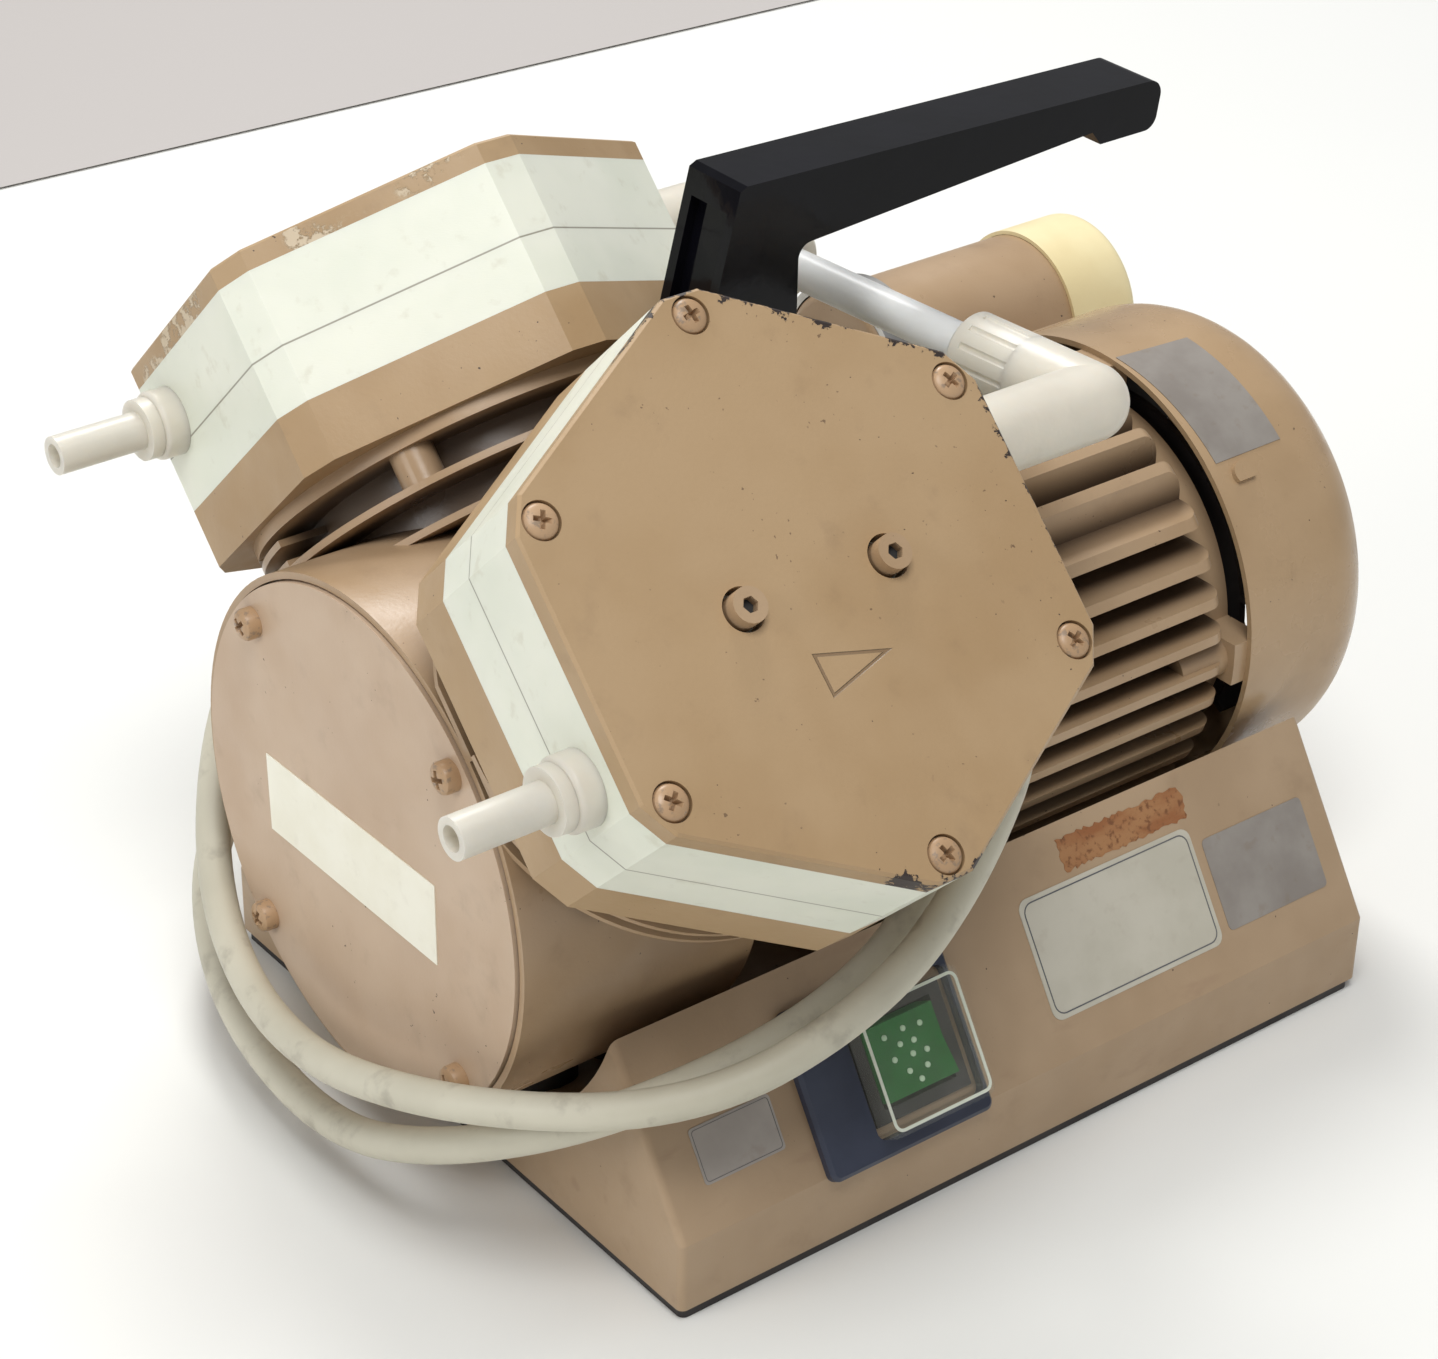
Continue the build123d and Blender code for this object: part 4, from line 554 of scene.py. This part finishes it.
def block(corners):
    # A closed prism from four lower and four upper corners in millimetres.
    bm = bmesh.new()
    verts = [bm.verts.new([c * MM for c in corner]) for corner in corners]
    sides = ((3, 2, 1, 0), (4, 5, 6, 7), (0, 1, 5, 4), (1, 2, 6, 5), (2, 3, 7, 6), (3, 0, 4, 7))
    for face in sides:
        bm.faces.new([verts[i] for i in face])
    bmesh.ops.recalc_face_normals(bm, faces=bm.faces)
    return finished(bm, "block")


def carve(mesh, cutters):
    # The mesh less each cutter.
    body = put("carve_body", mesh)
    tools = []
    for cutter in cutters:
        tool = put("carve_tool", cutter)
        change = body.modifiers.new("cut", "BOOLEAN")
        change.operation = "DIFFERENCE"
        change.solver = "EXACT"
        change.object = tool
        tools.append(tool)
    bpy.context.view_layer.update()
    graph = bpy.context.evaluated_depsgraph_get()
    result = bpy.data.meshes.new_from_object(body.evaluated_get(graph))
    for extra in tools + [body]:
        bpy.data.objects.remove(extra)
    return result


def cross_cutters(top, depth, reach, width):
    # Two crossing tapered slots of a cross recess.
    cutters = []
    for turned_slot in (False, True):
        corners = []
        for height, shrink in ((top - depth, 0.45), (top + 1.0, 1.15)):
            long, wide = reach * shrink, width * (0.6 if shrink < 1 else 1.0)
            for a, b in ((-long, -wide), (long, -wide), (long, wide), (-long, wide)):
                corners.append((b, a, height) if turned_slot else (a, b, height))
        cutters.append(block(corners))
    return cutters


def plane_matrix(origin, right, up):
    # A place with X to the right, Y up and Z out of a plane.
    right, up = Vector(right).normalized(), Vector(up).normalized()
    out = right.cross(up)
    turn = Matrix((right, up, out)).transposed().to_4x4()
    return Matrix.Translation(Vector(origin)) @ turn


def head_place(side, height, x=0.0, v=0.0, turn=0.0):
    # A place on a head's plate, height from the crank line, looking out of the head.
    up, middle = head_axes(side)
    up = Vector(up)
    out = Vector((0, side * HALF, HALF))
    right = up.cross(out)
    origin = Vector((middle + x, 0, AXIS_Z)) + out * height + up * v
    return plane_matrix(origin, right, up) @ Matrix.Rotation(turn, 4, "Z")


# Screw profiles as (radius, height) in millimetres, and how far each cross is turned in radians
PAN_HEAD = [(0, -5.0), (2.0, -5.0), (2.0, 0.0), (4.2, 0.0), (4.2, 1.1), (3.9, 1.7), (3.1, 2.2),
            (1.8, 2.5), (0, 2.6)]
CHEESE_HEAD = [(0, -3.0), (2.0, -3.0), (2.0, 0.0), (4.0, 0.0), (4.0, 2.6), (3.7, 3.4), (2.9, 3.9),
               (1.6, 4.15), (0, 4.2)]
SCREW_TURNS = (0.5, 0.2, 1.1, 0.85, 0.35, 0.6, 1.3, 0.1, 0.95, 0.7, 0.25, 1.2)


def screw_heads(name, template, places, stands_for):
    # Screw heads with cross recesses, in place of a node's plain ones.
    heads = add_piece(name, joined(name, template, places), screw_paint(), "pump_body")
    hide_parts(stands_for)


def make_screws():
    # Six screws on each pressure plate and four on the crankcase cover.
    template = smooth(carve(turned(PAN_HEAD), cross_cutters(top=2.6, depth=2.1, reach=2.5, width=0.72)))
    places = []
    for side in (-1, 1):
        for corner in range(6):
            turn = math.radians(30 + 60 * corner)
            x, v = HEAD_SCREWS * math.cos(turn), HEAD_SCREWS * math.sin(turn)
            spin = SCREW_TURNS[corner + (6 if side > 0 else 0)]
            places.append(head_place(side, HEAD_FACE - SCREW_SINK, x, v, spin))
    screw_heads("plate_screw_heads", template, places, "plate_screws")
    template = smooth(carve(turned(CHEESE_HEAD), cross_cutters(top=4.2, depth=2.6, reach=2.5, width=0.72)))
    places = []
    for quarter in range(4):
        turn = math.radians(45 + 90 * quarter)
        y, z = COVER_SCREWS * math.cos(turn), COVER_SCREWS * math.sin(turn)
        spot = plane_matrix((HEAD_X + COVER_X, y, AXIS_Z + z), (0, -1, 0), (0, 0, 1))
        places.append(spot @ Matrix.Rotation(SCREW_TURNS[quarter + 3], 4, "Z"))
    screw_heads("cover_screw_heads", template, places, "cover_screws")


def screw_paint():
    # Paint that has worn to metal on the screw heads.
    def wear(f, tone, height):
        worn = f.math("MULTIPLY", f.span(f.noise(0.0016, 4.0, shift=8.0), 0.55, 0.66), 0.6)
        return f.blend(worn, tone, rgb(120, 108, 96)), height
    return paint("screw_paint", rgb(184, 152, 118), rgb(168, 136, 102), wear, 0.36)


def rounded_outline(width, height, corner, steps=5):
    # Points round a rounded rectangle, anticlockwise, in metres.
    points = []
    for cx, cy, start in ((1, 1, 0), (-1, 1, 90), (-1, -1, 180), (1, -1, 270)):
        for step in range(steps + 1):
            turn = math.radians(start + 90 * step / steps)
            points.append((cx * (width / 2 - corner) + corner * math.cos(turn),
                           cy * (height / 2 - corner) + corner * math.sin(turn)))
    return points


def film(points, thick):
    # Thin closed sheet over an outline in the XY plane.
    bm = bmesh.new()
    low = [bm.verts.new((x, y, 0)) for x, y in points]
    high = [bm.verts.new((x, y, thick)) for x, y in points]
    bm.faces.new(low[::-1])
    bm.faces.new(high)
    for i in range(len(points)):
        j = (i + 1) % len(points)
        bm.faces.new((low[i], low[j], high[j], high[i]))
    return finished(bm, "film")


def frame_line(width, height, corner, inset, line, thick):
    # Narrow border that follows the edge of a rounded rectangle.
    width, height = width - 2 * inset, height - 2 * inset
    outer = rounded_outline(width, height, corner)
    inner = rounded_outline(width - 2 * line, height - 2 * line, max(corner - line, 0.0002))
    bm = bmesh.new()
    rings = [[bm.verts.new((x, y, z)) for x, y in ring] for ring, z in
             ((outer, 0), (outer, thick), (inner, thick), (inner, 0))]
    count = len(outer)
    for a, b in zip(rings, rings[1:] + rings[:1]):
        for i in range(count):
            j = (i + 1) % count
            bm.faces.new((a[i], a[j], b[j], b[i]))
    bmesh.ops.recalc_face_normals(bm, faces=bm.faces)
    return finished(bm, "border")


def slope_place(x, up, out=0.0):
    # A place on the console's front slope, x from the front head's middle and up along the slope.
    along = Vector((0, math.cos(SLOPE_TURN), math.sin(SLOPE_TURN)))
    normal = Vector((0, -math.sin(SLOPE_TURN), math.cos(SLOPE_TURN)))
    origin = Vector((HEAD_X + x, SLOPE_FOOT[0], SLOPE_FOOT[1])) + along * up + normal * out
    return plane_matrix(origin, (1, 0, 0), along)


def slope_label(name, left, right, low, high, mat, corner=0.0015, border=None):
    # A bare label on the slope, between two x and two heights along it, in millimetres.
    width, height = (right - left) * MM, (high - low) * MM
    place = slope_place((left + right) / 2 * MM, (low + high) / 2 * MM)
    mesh = film(rounded_outline(width, height, corner), 0.00018)
    mesh.transform(place)
    add_piece(name, mesh, mat, "pump_body")
    if border:
        inset, line = border
        edge = frame_line(width, height, corner, inset * MM, line * MM, 0.00006)
        edge.transform(place @ Matrix.Translation((0, 0, 0.00018)))
        add_piece(name + "_border", edge, ink, "pump_body")


ink = label_finish("label_ink", rgb(86, 88, 92), rgb(104, 104, 104), 0.5, wear=0.1)
paper = label_finish("label_paper", rgb(196, 191, 176), rgb(186, 181, 165), wear=0.12)
cream_film = label_finish("label_cream", rgb(242, 239, 223), rgb(236, 232, 213), wear=0.06)
silver_film = label_finish("label_silver", rgb(166, 159, 151), rgb(150, 142, 134), 0.36, 0.35)
small_film = label_finish("label_small", rgb(178, 170, 162), rgb(164, 156, 148), 0.45, 0.1, 0.2)


def residue_finish():
    # Brown glue left by a removed label, patchy and torn at the edge.
    f = Finish("glue_residue", 0.6)
    streak = f.span(f.noise(0.006, 6.0, shape=(0.35, 1, 1), shift=3.0), 0.35, 0.65)
    tone = f.blend(streak, rgb(146, 92, 52), rgb(164, 118, 76))
    f.colour(f.blend(f.span(f.noise(0.0016, 3.0), 0.5, 0.7), tone, rgb(118, 74, 42)))
    return f.bump(f.noise(0.0016, 5.0), 0.0002).mat


def ragged(width, height, depth, seed):
    # Torn outline round a rectangle.
    rng = np.random.default_rng(seed)
    points = rounded_outline(width, height, 0.0008, 2)
    dense = []
    for (ax, ay), (bx, by) in zip(points, points[1:] + points[:1]):
        count = max(1, int(math.hypot(bx - ax, by - ay) / 0.0012))
        for step in range(count):
            share = step / count
            torn = rng.random() * depth
            x, y = ax + (bx - ax) * share, ay + (by - ay) * share
            dense.append((x * (1 - torn * 0.25), y * (1 - torn)))
    return dense


def make_labels():
    # Labels on the slope by their edges along it, the glue of a lost one, and the cover's label
    # at its corners in the photograph.
    slope_label("rating_label", 86, 145, 10, 42, paper, 0.003, (1.2, 0.35))
    slope_label("silver_slope_label", 148, 184, 12, 37, silver_film, 0.0015)
    slope_label("small_label", -24, 0, 11, 25, small_film, 0.001, (0.6, 0.15))
    mesh = film(ragged(0.044, 0.0095, 0.22, 5), 0.00012)
    mesh.transform(slope_place(0.125, 0.0482))
    add_piece("glue_patch", mesh, residue_finish(), "pump_body")
    corners = [on_plane(px, py, (HEAD_X + COVER_X, 0, 0), Vector((1, 0, 0)))
               for px, py in ((267, 753), (273, 828), (438, 965), (435, 886))]
    middle = sum(corners, Vector()) / 4
    right, up = corners[2] - corners[1], corners[0] - corners[1]
    place = plane_matrix((HEAD_X + COVER_X, middle.y, middle.z), right, up)
    local = [place.inverted() @ corner for corner in corners]
    mesh = film([(c.x, c.y) for c in local], 0.00025)
    mesh.transform(place)
    add_piece("cover_label", mesh, cream_film, "pump_body")


# Outer radius of the fan cover
FAN_RADIUS = 0.0648


def on_fan_cover(px, py):
    # Distance along the crank and angle round it where a pixel's line meets the fan cover.
    ray = sight(px, py)
    start = EYE - Vector((0, 0, AXIS_Z))
    a = ray.y ** 2 + ray.z ** 2
    b = 2 * (start.y * ray.y + start.z * ray.z)
    c = start.y ** 2 + start.z ** 2 - FAN_RADIUS ** 2
    t = (-b - math.sqrt(b * b - 4 * a * c)) / (2 * a)
    point = start + ray * t
    return point.x, math.atan2(-point.y, point.z)


def wrapped(corners, steps, thick):
    # Thin film laid round the fan cover between four (x, angle) corners.
    (ax, at), (bx, bt), (cx, ct), (dx, dt) = corners
    bm = bmesh.new()
    grid = {}
    for i in range(steps + 1):
        for j in range(steps + 1):
            u, w = i / steps, j / steps
            x = (1 - u) * (1 - w) * ax + u * (1 - w) * bx + u * w * cx + (1 - u) * w * dx
            turn = (1 - u) * (1 - w) * at + u * (1 - w) * bt + u * w * ct + (1 - u) * w * dt
            for layer, radius in enumerate((FAN_RADIUS, FAN_RADIUS + thick)):
                y, z = -radius * math.sin(turn), AXIS_Z + radius * math.cos(turn)
                grid[i, j, layer] = bm.verts.new((x, y, z))
    for i in range(steps):
        for j in range(steps):
            for layer in (0, 1):
                square = ((i, j), (i + 1, j), (i + 1, j + 1), (i, j + 1))
                bm.faces.new([grid[a, b, layer] for a, b in square])
    for i in range(steps):
        for j in (0, steps):
            bm.faces.new([grid[p] for p in ((i, j, 0), (i + 1, j, 0), (i + 1, j, 1), (i, j, 1))])
            bm.faces.new([grid[p] for p in ((j, i, 0), (j, i + 1, 0), (j, i + 1, 1), (j, i, 1))])
    bmesh.ops.recalc_face_normals(bm, faces=bm.faces)
    return smooth(finished(bm, "wrapped"), 50)


def make_fan_label():
    # Silver label wrapped round the fan cover, at its corners in the photograph.
    pixels = ((1116, 358), (1187, 338), (1280, 439), (1216, 464))
    corners = [on_fan_cover(px, py) for px, py in pixels]
    add_piece("fan_cover_label", wrapped(corners, 12, 0.0002), silver_film, "pump_body")


# Pale dots on the rocker's face in millimetres from its middle, then the switch's place in metres
# on the slope, the rocker's half height, rise and slant, and the size of the clear cover
DOTS = ((-5.4, 5.6), (0.6, 5.9), (5.8, 5.4), (-1.6, 2.6), (2.6, 2.2), (-4.6, -0.4), (1.0, -0.8),
        (5.2, -1.2), (-2.0, -4.2), (3.4, -4.6), (0.2, -7.0))
ROCKER_MIDDLE = 0.0405
SWITCH_UP = 0.0198
ROCKER_HALF = 9.2
ROCKER_RISE = 1.6
ROCKER_FALL = math.tan(math.radians(7.0))
COVER_WIDTH, COVER_HEIGHT, COVER_RISE = 0.0336, 0.034, 0.009


def make_dots():
    # Small pale dots that shine through the rocker's face.
    dot = turned([(0, -0.5), (0.75, -0.5), (0.75, 0.25), (0.45, 0.42), (0, 0.48)], 14)
    places = []
    for x, up in DOTS:
        tip = ROCKER_HALF * ROCKER_FALL * (1 if up < 0 else -1)
        rise = ROCKER_RISE + (1.0 + tip) * abs(up) / ROCKER_HALF
        places.append(slope_place(ROCKER_MIDDLE + x * MM, SWITCH_UP + up * MM, rise * MM))
    pale = plastic("dot_pale", rgb(206, 232, 200), rgb(188, 222, 180), 0.4)
    add_piece("rocker_dots", smooth(joined("rocker_dots", dot, places)), pale, "switch_rocker")


def make_rim_highlight():
    # Painted highlight: a pale border for the bright edge that a clear moulding shows round its front.
    rim = frame_line(COVER_WIDTH, COVER_HEIGHT, 0.0025, 0.0014, 0.0008, 0.0002)
    rim.transform(slope_place(ROCKER_MIDDLE, SWITCH_UP, COVER_RISE))
    pale = plastic("cover_rim_highlight", rgb(226, 230, 214), rgb(206, 212, 194), 0.25)
    add_piece("cover_rim_highlight", rim, pale, "pump_body")


def make_socket_shade():
    # Painted shade: dark discs at the bottoms of the two hexagon sockets on each head.
    bottom = turned([(0, -0.3), (1.9, -0.3), (1.9, 0.15), (0, 0.15)], 6)
    places = [head_place(side, HEAD_FACE + 0.9 * MM, across * SOCKET_OFFSET)
              for side in (-1, 1) for across in (-1, 1)]
    add_piece("socket_shade_discs", joined("socket_shade_discs", bottom, places), rubber, "pump_body")


# Plug's face, blades and earth pin, in millimetres from the plug's rear end and its middle
PLUG_FACE = 36.05
BLADE_END = 52.0
BLADE_SPREAD = 6.35
BLADE_HALF = 0.79
BLADE_RISE = 3.2
BLADE_TAPER = 0.5
PIN_RADIUS = 2.45
PIN_END = 54.0
PIN_DROP = 8.0


def make_plug_blades():
    # Brass skins over the blades and the earth pin of the source's plug.
    middle = Vector((HEAD_X + 0.214, 0.222, 0.013))
    pieces = []
    for side in (-1, 1):
        corners = []
        for x, w in ((PLUG_FACE, BLADE_RISE), (BLADE_END, BLADE_RISE - BLADE_TAPER)):
            for dy, dz in ((-1, -w), (1, -w), (1, w), (-1, w)):
                corners.append((x, side * BLADE_SPREAD + dy * BLADE_HALF, BLADE_RISE + dz))
        pieces.append(block(corners))
    pin = turned([(0, PLUG_FACE), (PIN_RADIUS, PLUG_FACE), (PIN_RADIUS, PIN_END - 1.2),
                  (1.8, PIN_END), (0, PIN_END)], 24)
    pin.transform(Matrix(((0, 0, 1, 0), (1, 0, 0, 0), (0, 1, 0, -PIN_DROP * MM), (0, 0, 0, 1))))
    pieces.append(pin)
    bm = bmesh.new()
    for piece in pieces:
        bm.from_mesh(piece)
    mesh = finished(bm, "plug_blades")
    mesh.transform(Matrix.Translation(middle))
    return add_piece("plug_blades", smooth(mesh), brass, "pump_body")


def build_object():
    cord = make_cord()
    blades = make_plug_blades()
    make_screws()
    make_labels()
    make_fan_label()
    make_dots()
    make_rim_highlight()
    make_socket_shade()


LIT_POINT = Vector((0, 0, 0.1))
STAGE_REACH = 4.0


def plain(name, colour, rough=0.9):
    # Matt paint of the stage.
    f = Finish(name, rough)
    f.colour(f.mottle(0.5, colour, [c * 0.985 for c in colour[:3]] + [1.0]))
    f.set("Specular IOR Level", 0.1)
    return f.mat


def big_sheet(name, corners, mat):
    # A flat sheet of the stage.
    mesh = bpy.data.meshes.new(name)
    mesh.from_pydata([tuple(c) for c in corners], [], [(0, 1, 2, 3)])
    obj = put(name, mesh)
    dress(obj, mat)


def area_light(name, place, size, power):
    # A round soft light that points at the pump.
    data = bpy.data.lights.new(name, "AREA")
    data.shape = "DISK"
    data.size = size
    data.energy = power
    lamp = put(name, data)
    lamp.location = place
    lamp.rotation_mode = "QUATERNION"
    lamp.rotation_quaternion = (LIT_POINT - Vector(place)).to_track_quat("-Z", "Y")


def build_stage():
    # White table, the darker ground beyond its edge, three lights and a pale sky.
    floor = plain("floor_white", rgb(234, 234, 230))
    far = plain("far_grey", rgb(192, 187, 183))
    square = ((-1, -1), (1, -1), (1, 1), (-1, 1))
    big_sheet("floor", [(STAGE_REACH * x, STAGE_REACH * y, 0) for x, y in square], floor)
    left = on_plane(0, 190, (0, 0, 0), Vector((0, 0, 1)))
    right = on_plane(820, 0, (0, 0, 0), Vector((0, 0, 1)))
    run = (right - left).normalized()
    a, b = left - run * 3.0, left + run * 5.0
    away = Vector((-run.y, run.x, 0)) * 6.0
    rise = Vector((0, 0, 0.001))
    big_sheet("far_ground", [p + rise for p in (a, b, b + away, a + away)], far)
    area_light("key", (-0.42, -0.62, 1.75), 0.9, 18.5)
    area_light("back", (0.45, 0.95, 1.5), 0.6, 17.0)
    area_light("left", (-1.6, 0.1, 0.8), 0.8, 7.0)
    world = bpy.data.worlds.new("studio")
    world.use_nodes = True
    sky = world.node_tree.nodes["Background"]
    sky.inputs["Color"].default_value = (0.96, 0.97, 1.0, 1.0)
    sky.inputs["Strength"].default_value = 0.36
    bpy.context.scene.world = world
    bpy.context.scene.view_settings.view_transform = "Standard"


build_object()
build_stage()
